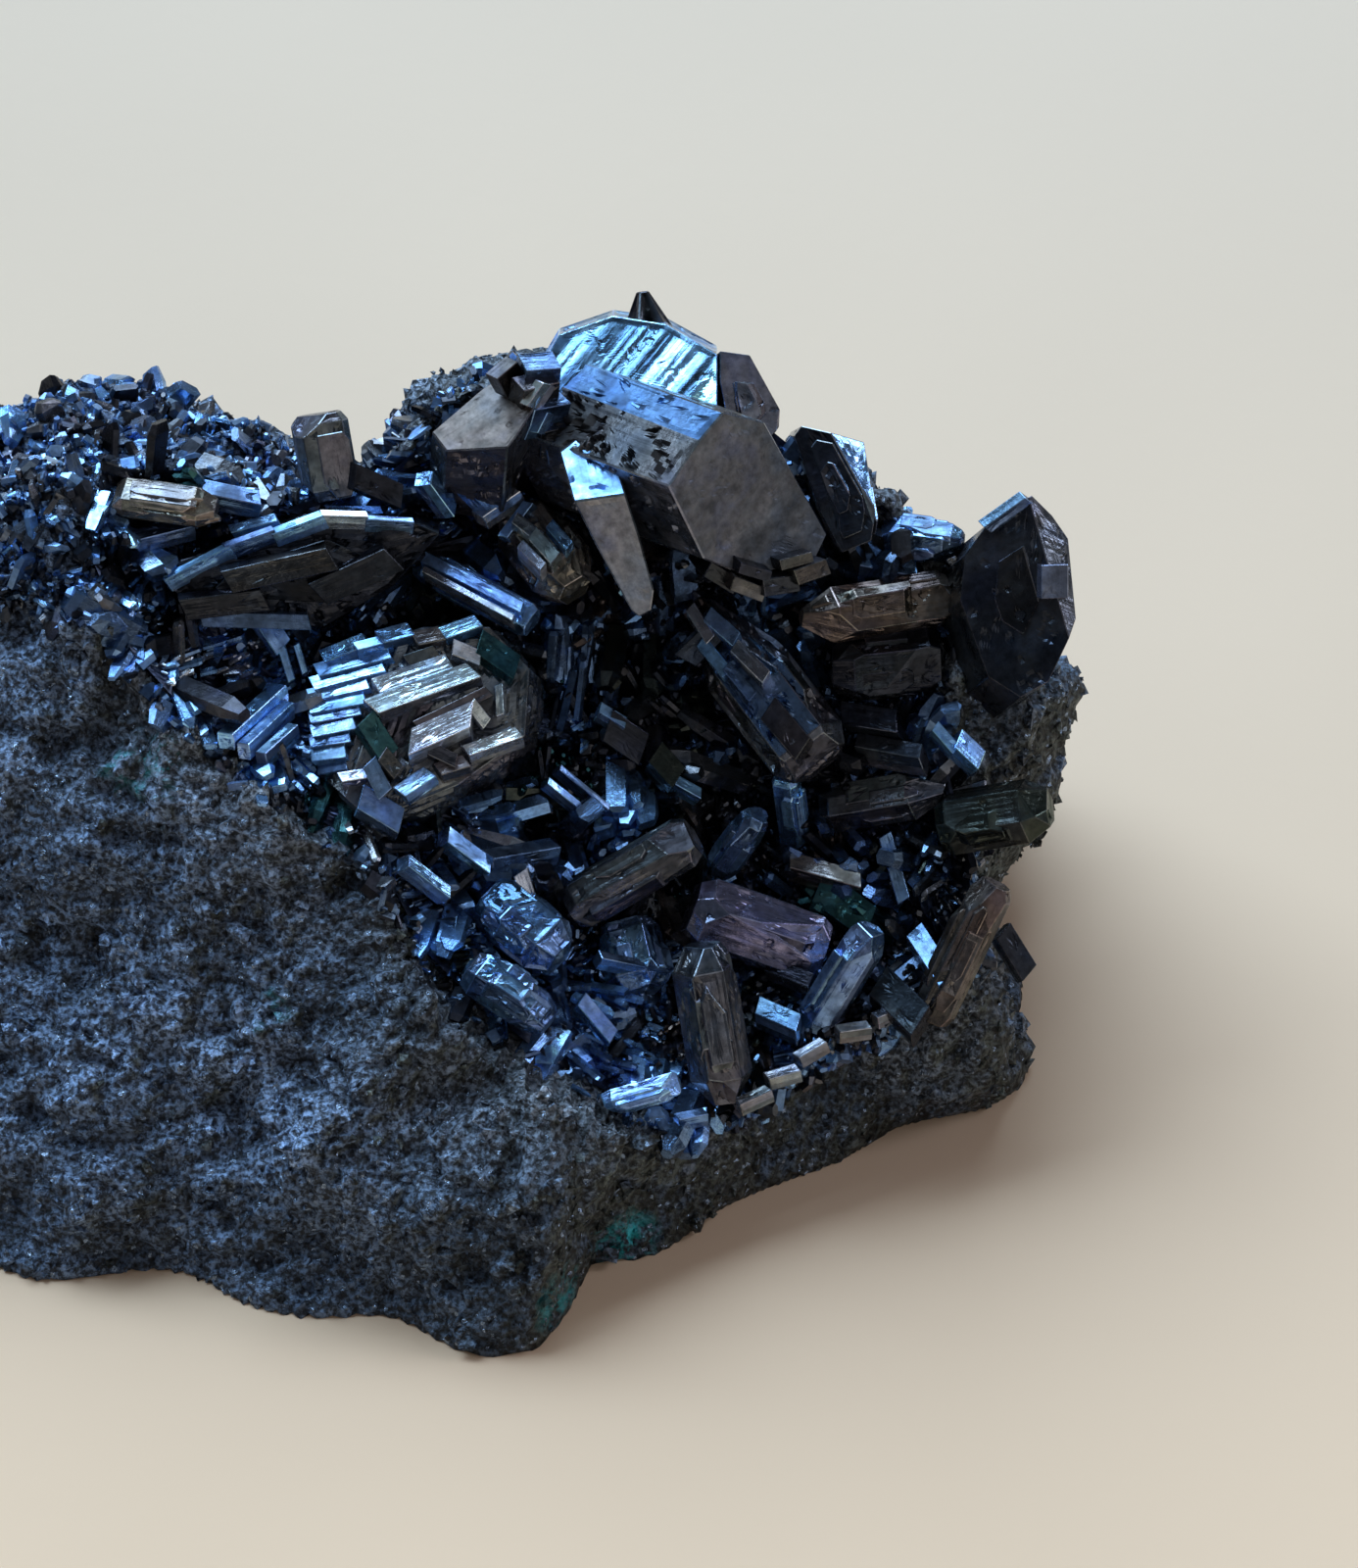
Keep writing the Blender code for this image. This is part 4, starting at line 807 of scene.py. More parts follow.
@dataclass
class CrystalForm:
    """A crystal as the room that its faces leave.

    Attributes:
        centre: Its middle in the display frame.
        normals: Outward directions of its faces.
        distances: Distances of its faces from the centre.
        along: Direction of its length, along which it is striated.
    """

    centre: Array
    normals: Array
    distances: Array
    along: Array

    @classmethod
    def from_faces(cls, centre: Array, faces: list, along: Array) -> CrystalForm:
        """Gathers faces given as pairs of direction and distance."""
        normals = unit(np.array([normal for normal, _ in faces]))
        return cls(np.asarray(centre, float), normals, np.array([distance for _, distance in faces]), along)

    @classmethod
    def prism(cls, root: tuple, tip: tuple, facing: tuple, width: float, thickness: float, flat: float = 0.55,
              edge: float = 0.0, tip_cut: tuple = (1.2, 0.6), root_cut: tuple = (0.8, 0.8), rise: float = 3.0,
              lift: float = 0.0) -> CrystalForm:
        """A six or eight sided crystal that stands in the crust.

        Args:
            root: Where its root is seen, across and up.
            tip: Where its tip is seen.
            facing: Outward direction of its broad face.
            width: Width of the broad side.
            thickness: Thickness between the broad faces.
            flat: The broad face's share of the width.
            edge: The side face's share of the thickness.
            tip_cut: Length of the tip's bevels, and the share of the section that they leave.
            root_cut: The same at the root.
            rise: How much nearer the tip is than the root.
            lift: How far the root is over the crust.

        Returns:
            The form.
        """
        root_near = float(VUG.crust(np.array([root[0]]), np.array([root[1]]))[0]) + lift
        start, end = np.array((*root, root_near)), np.array((*tip, root_near + rise))
        along, facing, side = squared_axes(end - start, facing)
        half_length, half_width, half_thick = np.linalg.norm(end - start) / 2, width / 2, thickness / 2
        broad, corner = half_width * flat, half_thick * edge
        rounds = [(facing, half_thick), (-facing, half_thick)]
        if edge > 0:
            rounds += [(side, half_width), (-side, half_width)]
        slant = unit(np.array((half_thick - corner, half_width - broad)))
        reach = slant @ (broad, half_thick)
        rounds += [(s * slant[0] * side + f * slant[1] * facing, reach) for s in (1, -1) for f in (1, -1)]
        faces = list(rounds) + [(along, half_length), (-along, half_length)]
        for sign, (length, share) in ((1, tip_cut), (-1, root_cut)):
            for normal, distance in rounds if share < 1 else ():
                bevel = unit(length * normal + distance * (1 - share) * sign * along)
                faces.append((bevel, bevel @ (distance * normal + (half_length - length) * sign * along)))
        return cls.from_faces((start + end) / 2, faces, along)

    @classmethod
    def seen(cls, outline: tuple, stand: float, depth: float, facing: tuple, along: tuple, cuts: tuple = (),
             lines: tuple | None = None) -> CrystalForm:
        """A crystal given by the outline of its front face as it is seen.

        Args:
            outline: Corners of the front face, across and up.
            stand: How far the middle of the front face stands over the crust.
            depth: How far the crystal runs back along its axis.
            facing: Outward direction of the front face.
            along: The crystal's axis.
            cuts: Further faces, each an outward direction and a point of the front face's plane.
            lines: Direction of the striations, if not the axis.

        Returns:
            The form.
        """
        corners = np.array(outline, float)
        middle = corners.mean(0)
        facing, along = unit(np.array(facing)), unit(np.array(along))
        centre = np.array((*middle, float(VUG.crust(middle[:1], middle[1:])[0]) + stand))

        def on_front(point: Array) -> Array:
            """The front plane's point that is seen at that place, counted from the centre."""
            flat = np.asarray(point, float) - middle
            return np.array((*flat, -(facing[0] * flat[0] + facing[1] * flat[1]) / facing[2]))

        faces = [(facing, 0.0), (-along, depth)]
        around = [on_front(corner) for corner in corners]
        for here, there in zip(around, around[1:] + around[:1]):
            normal = unit(np.cross(there - here, along))
            normal = normal if normal @ here > 0 else -normal
            faces.append((normal, normal @ here))
        for direction, point in cuts:
            faces.append((unit(np.array(direction)), unit(np.array(direction)) @ on_front(point)))
        return cls.from_faces(centre, faces, unit(np.array(lines if lines else along)))

    @classmethod
    def bar(cls, start: tuple, end: tuple, facing: tuple, width: float, thickness: float, flat: float = 0.8,
            slant: float = 0.0) -> CrystalForm:
        """A small bar between two display points.

        Args:
            start: Middle of one end.
            end: Middle of the other end.
            facing: Roughly, the outward direction of its broad face.
            width: Width across the broad face.
            thickness: Thickness under it.
            flat: The broad face's share of the width.
            slant: How far the end faces lean over sideways.

        Returns:
            The form.
        """
        start, end = np.array(start, float), np.array(end, float)
        along, facing, side = squared_axes(end - start, facing)
        slope = unit(np.array((thickness / 2, width / 2 * (1 - flat))))
        reach = slope @ (width / 2 * flat, thickness / 2)
        faces = [(facing, thickness / 2), (-facing, thickness / 2)]
        faces += [(s * slope[0] * side + f * slope[1] * facing, reach) for s in (1, -1) for f in (1, -1)]
        reach = np.linalg.norm(end - start) / 2 / math.hypot(1, slant)
        faces += [(along + slant * side, reach), (-along - slant * side, reach)]
        return cls.from_faces((start + end) / 2, faces, along)

    def front(self, across: Array, up: Array, margin: float = 0.0) -> Array:
        """How near its front surface is at places of the face, where the form stands; elsewhere far behind.

        Args:
            across: Across coordinates.
            up: Up coordinates.
            margin: How much of its outline is left out.

        Returns:
            Nearness of the front, or BESIDE where a place lies beside the crystal.
        """
        flat = np.stack([across - self.centre[0], up - self.centre[1]], -1) @ self.normals[:, :2].T
        room = self.distances - margin - flat
        slope = self.normals[:, 2]
        near = np.where(slope > 1e-6, room / np.where(slope > 1e-6, slope, 1.0), np.inf).min(1)
        far = np.where(slope < -1e-6, room / np.where(slope < -1e-6, slope, 1.0), -np.inf).max(1)
        beside = ((np.abs(slope) <= 1e-6) & (room < 0)).any(1)
        return np.where((near > far) & ~beside, near + self.centre[2], BESIDE)

    def chipped(self, count: int, dice: Dice) -> CrystalForm:
        """The same form with some corners broken off by slanting faces."""
        points, _ = self.corners()
        cuts = unit(dice.normal(size=(count, 3)) + (0.0, 0.0, 0.7))
        reach = (points @ cuts.T).max(0) * dice.uniform(0.74, 0.92, size=count)
        distances = np.concatenate([self.distances, reach])
        return CrystalForm(self.centre, np.vstack([self.normals, cuts]), distances, self.along)

    def offshoots(self, count: int, dice: Dice) -> tuple[CrystalForm, ...]:
        """Bodies in parallel growth: the same faces drawn in, and moved until they stand a little proud."""
        grown = []
        for _ in range(count):
            share = dice.uniform(0.4, 0.8)
            push = unit(dice.normal(size=3) + (0.0, 0.0, 0.6))
            facing = self.normals @ push
            room = (self.distances[facing > 0.05] / facing[facing > 0.05]).min()
            shift = push * (room * (1 - share) + dice.uniform(0.12, 0.45))
            reach = self.distances * share * dice.uniform(0.78, 1.15, size=len(self.distances))
            grown.append(CrystalForm(self.centre + shift, self.normals, reach, self.along))
        return tuple(grown)

    def bevelled(self, cut: float) -> CrystalForm:
        """The same form with a narrow face along every edge."""
        if cut <= 0.0:
            return self
        points, on_face = self.corners()
        normals, distances = list(self.normals), list(self.distances)
        for one, other in itertools.combinations(range(len(self.normals)), 2):
            shared = points[on_face[:, one] & on_face[:, other]]
            if len(shared) < 2 or self.normals[one] @ self.normals[other] > 0.94:
                continue
            between = unit(self.normals[one] + self.normals[other])
            normals.append(between)
            distances.append((shared @ between).mean() - cut * np.linalg.norm(self.normals[one] - between))
        return CrystalForm(self.centre, np.array(normals), np.array(distances), self.along)

    def corners(self) -> tuple[Array, Array]:
        """Its corners, where three faces meet inside all others, and which faces each corner lies on."""
        triples = np.array(list(itertools.combinations(range(len(self.normals)), 3)))
        systems = self.normals[triples]
        solvable = np.abs(np.linalg.det(systems)) > 1e-5
        points = np.linalg.solve(systems[solvable], self.distances[triples[solvable]][..., None])[..., 0]
        points = points[(points @ self.normals.T < self.distances + 1e-5).all(1)]
        points = np.unique(np.round(points, 4), axis=0)
        return points, np.abs(points @ self.normals.T - self.distances) < 4e-4

    def sheets(self, growth: Growth, tarnish: Tarnish, tints: tuple[FaceTint, ...], seed: int) -> FacetSheets:
        """Every face as fine sheets between its middle and its edges, with striations, steps and pits."""
        form = self.bevelled(growth.bevel)
        points, on_face = form.corners()
        dice = np.random.default_rng(seed)
        sheets = FacetSheets()
        for number, normal in enumerate(form.normals):
            ring = points[on_face[:, number]]
            if len(ring) < 3:
                continue
            edge = number >= len(self.normals)
            shade = np.array(tarnish.value) * dice.uniform(0.75, 1.25) * dice.uniform(0.92, 1.08, size=3)
            # Painted highlight: the narrow bevel faces along the edges are lightened, times 1.4 and plus 0.012.
            shade = shade * 1.4 + 0.012 if edge else shade
            dull, pitted = dice.uniform(0.05, 0.3), 1.0
            for tint in () if edge else tints:
                if normal @ unit(np.array(tint.towards)) > tint.closeness:
                    shade, dull, pitted = np.array(tint.tarnish.value), tint.dull, tint.pitted
            streak = form.along - normal * (form.along @ normal)
            if np.linalg.norm(streak) < 0.15:
                streak = np.cross(normal, (0.3, 0.2, 0.9))
            streak = unit(streak)
            cross = np.cross(normal, streak)
            local = ring - ring.mean(0)
            ring = ring[np.argsort(np.arctan2(local @ cross, local @ streak))]
            sheet = FaceSheet(ring, normal, streak, cross, shade, dull, seed * 31 + number, edge, pitted)
            sheet.fill(sheets, growth)
        return sheets


@dataclass
class FacetSheets:
    """Grids gathered from many faces, before their shared edges are welded."""

    points: list = field(default_factory=list)
    quads: list = field(default_factory=list)
    lines: list = field(default_factory=list)
    tarnish: list = field(default_factory=list)
    dull: list = field(default_factory=list)
    count: int = 0

    def add(self, points: Array, quads: Array, lines: Array, tarnish: Array,
            dull: Array) -> None:
        """Adds one grid: its points, quads, and each point's lines place, colour and dullness."""
        self.points.append(points)
        self.quads.append(quads + self.count)
        self.lines.append(lines)
        self.tarnish.append(tarnish)
        self.dull.append(dull)
        self.count += len(points)

    def merge(self, other: FacetSheets, offset: Array) -> None:
        """Takes in another body's grids, moved by an offset."""
        self.points += [points + offset for points in other.points]
        self.quads += [quads + self.count for quads in other.quads]
        self.lines += other.lines
        self.tarnish += other.tarnish
        self.dull += other.dull
        self.count += other.count

    def add_plates(self, plates: tuple, ground: Ground, seed: int) -> None:
        """Adds small bars that stand over a ground, each with its own colour."""
        for number, plate in enumerate(plates):
            form = plate.form(ground)
            self.merge(form.sheets(PLATE_GROWTH, plate.tarnish, (), seed + number), form.centre)

    def piece(self, name: str, look: Material) -> bpy.types.Object:
        """Welds equal points, turns quads with a doubled corner into triangles, and makes the mesh."""
        points = np.concatenate(self.points)
        quads = np.concatenate(self.quads)
        _, first, welded = np.unique(np.round(points + 0.000137, 3), axis=0, return_index=True, return_inverse=True)
        welded = welded.ravel()
        corners = welded[quads]
        same = corners == np.roll(corners, -1, axis=1)
        whole = ~same.any(1)
        pinched = quads[same.sum(1) == 1]
        drop = np.argmax(same[same.sum(1) == 1], axis=1)
        keep = np.array([[1, 2, 3], [0, 2, 3], [0, 1, 3], [0, 1, 2]])[drop]
        triangles = np.take_along_axis(pinched, keep, axis=1)
        order = np.concatenate([quads[whole].ravel(), triangles.ravel()])
        skin = Skin(*(np.concatenate(grids)[order] for grids in (self.tarnish, self.dull, self.lines)))
        return make_piece(name, DISPLAY.place(points[first]), [welded[quads[whole]], welded[triangles]], look, skin)


@dataclass
class FaceSheet:
    """One flat face of a crystal, and the relief that grew on it.

    Attributes:
        ring: The face's corners in order, counted from the crystal's centre.
        normal: Outward direction.
        streak: Direction of the striations in the face.
        cross: Direction across them.
        shade: The face's colour.
        dull: The face's dullness.
        seed: Which relief.
        plain: Whether it has no relief, as the narrow faces along the edges.
        pitted: Strength of its pits.
    """

    ring: Array
    normal: Array
    streak: Array
    cross: Array
    shade: Array
    dull: float
    seed: int
    plain: bool = False
    pitted: float = 1.0

    @property
    def outward(self) -> Array:
        """Directions in the face that lead out over each of its sides."""
        return unit(np.cross(np.roll(self.ring, -1, axis=0) - self.ring, self.normal))

    def fill(self, sheets: FacetSheets, growth: Growth) -> None:
        """Adds a sheet for each side: points run from the middle (0) to the side (1), and along the side."""
        middle = self.ring.mean(0)
        inner = ((self.ring - middle) * self.outward).sum(1).min()
        outer = np.linalg.norm(self.ring - middle, axis=1).max()
        rings = 1 if inner < 0.2 else max(2, math.ceil(math.sqrt(inner * outer) / growth.cell))
        grids, faces, count = [], [], 0
        for here, there in zip(self.ring, np.roll(self.ring, -1, axis=0)):
            steps = max(1, math.ceil(np.linalg.norm(there - here) / growth.cell))
            out = np.linspace(0, 1, rings + 1)[:, None, None]
            share = np.linspace(0, 1, steps + 1)[None, :, None]
            grids.append((middle + out * ((1 - share) * here + share * there - middle)).reshape(-1, 3))
            row, column = np.meshgrid(np.arange(rings), np.arange(steps), indexing="ij")
            corner = row * (steps + 1) + column + count
            faces.append(np.stack([corner, corner + steps + 1, corner + steps + 2, corner + 1], -1).reshape(-1, 4))
            count += len(grids[-1])
        points = np.concatenate(grids)
        lines = np.column_stack([points @ self.cross, points @ self.streak])
        if self.plain:
            height, soot, band = np.zeros(count), np.zeros(count), np.zeros(count)
        else:
            height, soot = self.relief(points, growth)
            band = lattice_noise(np.column_stack([lines * (1.1, 0.07), np.full(count, 0.5)]), self.seed + 23)
        # Painted reflection: the bands lighten and darken the colour in streaks along the striations; the soot patches
        # are the face's own dull coat.
        brightness = (1.0 - 0.35 * soot) * (1.0 + growth.bands * np.clip(band * 1.6, -1, 1))
        shade = self.shade[None, :] * brightness[:, None]
        sheets.add(points + self.normal * height[:, None], np.concatenate(faces), lines, shade,
                   np.clip(self.dull + 0.5 * soot, 0.0, 1.0))

    def relief(self, points: Array, growth: Growth) -> tuple[Array, Array]:
        """Height over the flat face, and soot: streaked noise, stepped terraces and pits, nothing at the edges."""
        edge_gap = ((self.ring * self.outward).sum(1) - points @ self.outward.T).min(1)
        fade = smooth_step(edge_gap / 0.35)
        across, along = points @ self.cross, points @ self.streak
        stretched = np.column_stack([across / growth.pitch, along / (growth.pitch * 16.0), np.full(len(points), 0.5)])
        streaks = lattice_noise(stretched, self.seed) + 0.5 * lattice_noise(stretched * (2.3, 1.7, 1.0), self.seed + 3)
        height = -growth.depth * (0.5 + 0.5 * np.clip(streaks, -1.0, 1.0))
        wander = growth.wander * layered_noise(points, 3.0, 2, self.seed + 5)
        if growth.terrace > 0:
            level = (edge_gap + wander) / growth.tread
            height = height + growth.terrace * (np.floor(level) + smooth_step((level % 1.0) * 5.0 - 4.0))
        hollows = layered_noise(points, 0.85, 3, self.seed + 11)
        height = height - self.pitted * growth.pits * 4.0 * smooth_step((hollows - 0.55 + 0.1 * self.pitted) * 5.0)
        soot = smooth_step((layered_noise(points, 2.4, 3, self.seed + 17) - 0.15) * 1.8)
        return height * fade, soot


SKY = (-0.2, 0.64, 0.74)


@dataclass(frozen=True)
class Plate:
    """A small bar that grew on a large crystal or stands in the crust, given by where its two ends are seen.

    Attributes:
        start: Middle of one end, across and up.
        end: Middle of the other end.
        width: Its width.
        tarnish: Its colour.
        over: How far its middle is over the ground.
        thick: Its thickness.
        facing: Outward direction of its broad face.
        slant: How far its ends lean over sideways.
        drop: How much lower its start is than its end.
    """

    start: Pair
    end: Pair
    width: float
    tarnish: Tarnish
    over: float = 0.2
    thick: float = 1.0
    facing: Triple = SKY
    slant: float = 0.3
    drop: float = 0.0

    def form(self, ground: Ground) -> CrystalForm:
        """The bar, with both ends at that height over the ground."""
        across, up = np.array((self.start, self.end)).T
        ends = np.column_stack([across, up, ground(across, up) + self.over - np.array((self.drop, 0.0))])
        return CrystalForm.bar(*ends, self.facing, self.width, self.thick, 0.9, self.slant)


def plates(*rows: tuple) -> tuple[Plate, ...]:
    """Plates from flat rows: across and up of both ends, then the rest of a Plate's fields in order."""
    return tuple(Plate(row[:2], row[2:4], *row[4:]) for row in rows)


@dataclass
class StandingCrystal:
    """A crystal, or several grown together, that stands out of the crust.

    Attributes:
        node: The solid that it stands for.
        slot: Name of its material slot; not used.
        tarnish: Its main colour.
        forms: Its bodies.
        growth: How its faces grew.
        tints: Faces with a colour of their own.
        plates: Small bars that grew on the first body's front face.
        offshoots: How many smaller bodies in parallel growth each body has.
        others: Colour of the bodies after the first, if it is another.
        chips: How many corners are broken off each body.
    """

    node: str
    slot: str
    tarnish: Tarnish
    forms: tuple[CrystalForm, ...]
    growth: Growth = Growth()
    tints: tuple[FaceTint, ...] = ()
    plates: tuple[Plate, ...] = ()
    offshoots: int = 4
    others: Tarnish | None = None
    chips: int = 3

    def front_plane(self, across: Array, up: Array) -> Array:
        """Nearness of the first body's front face: its plane, solved for the near coordinate."""
        form = self.forms[0]
        normal = form.normals[0]
        flat = np.stack([across - form.centre[0], up - form.centre[1]], -1) @ normal[:2]
        return form.centre[2] + (form.distances[0] - flat) / normal[2]

    def build(self, look: Material, seed: int) -> None:
        """Makes the piece and attaches it in place of its node."""
        whole = FacetSheets()
        dice = np.random.default_rng(seed * 13)
        for number, form in enumerate(self.forms):
            tarnish = self.others if number and self.others else self.tarnish
            bodies = (form.chipped(self.chips, dice), *form.offshoots(self.offshoots, dice))
            for place, body in enumerate(bodies):
                sheets = body.sheets(self.growth, tarnish, self.tints, seed * 70 + number * 10 + place)
                whole.merge(sheets, body.centre)
        whole.add_plates(self.plates, self.front_plane, seed * 997)
        attach(whole.piece(f"{self.node}_grown", look), self.slot, self.node)


STEEL, GUNMETAL, BRONZE = "steel_crystal", "gunmetal_crystal", "bronze_crystal"


def lone(node: str, slot: str, tarnish: Tarnish, *shape: object, **placed: object) -> StandingCrystal:
    """A crystal that is a single prism, given by the prism's own numbers."""
    return StandingCrystal(node, slot, tarnish, (CrystalForm.prism(*shape, **placed),))


def main_plates() -> tuple[Plate, ...]:
    """The crumbly underside of the large crystal's end."""
    dark, drab, low = Tarnish.SOOT, Tarnish.DRAB, (0.1, -0.3, 0.95)
    return plates(
        (7.6, 54.2, 9.6, 53.0, 1.3, dark, -2.2, 2.4, low), (9.2, 53.2, 11.4, 52.4, 1.2, drab, -1.2, 2.4, low),
        (11.2, 52.6, 13.6, 53.0, 1.4, dark, -0.6, 2.4, low), (13.4, 53.2, 15.6, 54.0, 1.3, drab, 0.0, 2.4, low),
        (9.9, 54.0, 12.0, 53.4, 0.9, dark, 0.1, 1.6, low), (12.6, 54.0, 14.8, 54.6, 0.9, drab, 0.2, 1.6, low),
    )


def stepped_plates() -> tuple[Plate, ...]:
    """The parallel bars, blocks and steps that the stepped crystal is grown of."""
    bright, pale, steel, dark = Tarnish.BRIGHT, Tarnish.PALE, Tarnish.STEEL, Tarnish.DRAB
    flank, flat, edge = (-0.35, 0.45, 0.82), (-0.1, 0.35, 0.93), (0.2, 0.1, 0.97)
    stack = (flank, 0.3, 1.5)
    # The bright and pale bars are painted reflection of the window light; steel, dark, tan and teal are their own
    # tarnish.
    return plates(
        (-17.6, 47.2, -14.6, 48.4, 1.3, bright, -0.5, 2.4, *stack),
        (-18.2, 46.2, -13.2, 47.5, 1.3, bright, -0.7, 2.4, *stack),
        (-18.5, 45.3, -13.6, 46.6, 1.3, bright, -0.8, 2.4, *stack),
        (-18.7, 44.5, -14.6, 45.4, 1.2, bright, -1.0, 2.4, *stack),
        (-18.7, 43.7, -14.8, 44.4, 1.2, bright, -1.0, 2.4, *stack),
        (-18.6, 43.0, -15.1, 43.6, 1.1, steel, -1.0, 2.4, *stack),
        (-18.4, 42.1, -15.4, 42.7, 1.2, bright, -0.9, 2.4, *stack),
        (-18.5, 41.4, -15.7, 41.8, 1.2, steel, -1.0, 2.4, *stack),
        (-18.4, 40.5, -16.0, 40.8, 1.2, bright, -0.9, 2.2, *stack),
        (-17.9, 39.6, -15.9, 40.0, 1.1, steel, -0.9, 2.0, *stack),
        (-14.7, 43.8, -7.7, 46.3, 1.5, pale, 0.8, 2.6, flat, 0.5),
        (-14.4, 45.3, -9.4, 47.0, 1.3, pale, 0.5, 2.2, flat, 0.2),
        (-12.0, 41.4, -7.8, 43.3, 1.9, pale, 1.1, 2.6, flat, -0.6),
        (-11.7, 42.9, -6.8, 45.3, 0.9, dark, 0.9, 2.2, edge), (-8.0, 44.4, -6.9, 43.0, 0.9, pale, 1.3, 1.6, flat),
        (-6.0, 45.7, -5.9, 43.6, 0.6, pale, 0.5, 1.8, flat),
        (-15.3, 43.3, -13.6, 40.7, 1.7, Tarnish.TEAL, 0.4, 2.6, edge, 0.2),
        (-14.1, 40.9, -13.0, 39.6, 1.2, dark, 0.7, 2.2, edge),
        (-14.9, 40.4, -13.8, 38.2, 1.3, steel, 0.2, 2.4, flat),
        (-15.6, 37.9, -12.8, 36.2, 1.9, steel, 0.0, 2.6, flat),
        (-12.7, 38.1, -10.6, 39.5, 1.2, bright, 0.5, 2.2, flat),
        (-10.9, 41.3, -9.0, 40.4, 1.0, dark, 0.8, 2.2, edge),
        (-10.2, 39.6, -8.2, 40.2, 1.1, Tarnish.TAN, 0.4, 2.2, flat),
        (-8.3, 40.9, -4.6, 42.2, 1.0, pale, 0.6, 2.0, flat),
        (-14.2, 48.6, -12.0, 49.2, 1.2, steel, -0.1, 2.2, flat),
        (-11.8, 48.5, -9.9, 48.9, 1.2, Tarnish.TAN, 0.1, 2.2, flat),
        (-9.9, 48.9, -7.4, 49.8, 1.1, bright, 0.2, 2.0, flat), (-9.3, 48.1, -7.4, 47.3, 1.2, pale, 0.6, 2.0, flat),
        (-12.4, 47.3, -10.3, 48.0, 1.0, dark, 0.3, 2.0, edge),
        (-7.6, 48.4, -5.0, 46.6, 1.9, Tarnish.TEAL, 0.3, 2.2, (0.35, 0.2, 0.92)),
        (-16.9, 39.0, -15.0, 39.3, 0.9, pale, -0.4, 1.8, flank),
        (-15.8, 47.9, -13.4, 48.5, 0.8, bright, -0.1, 1.8, flank),
    )


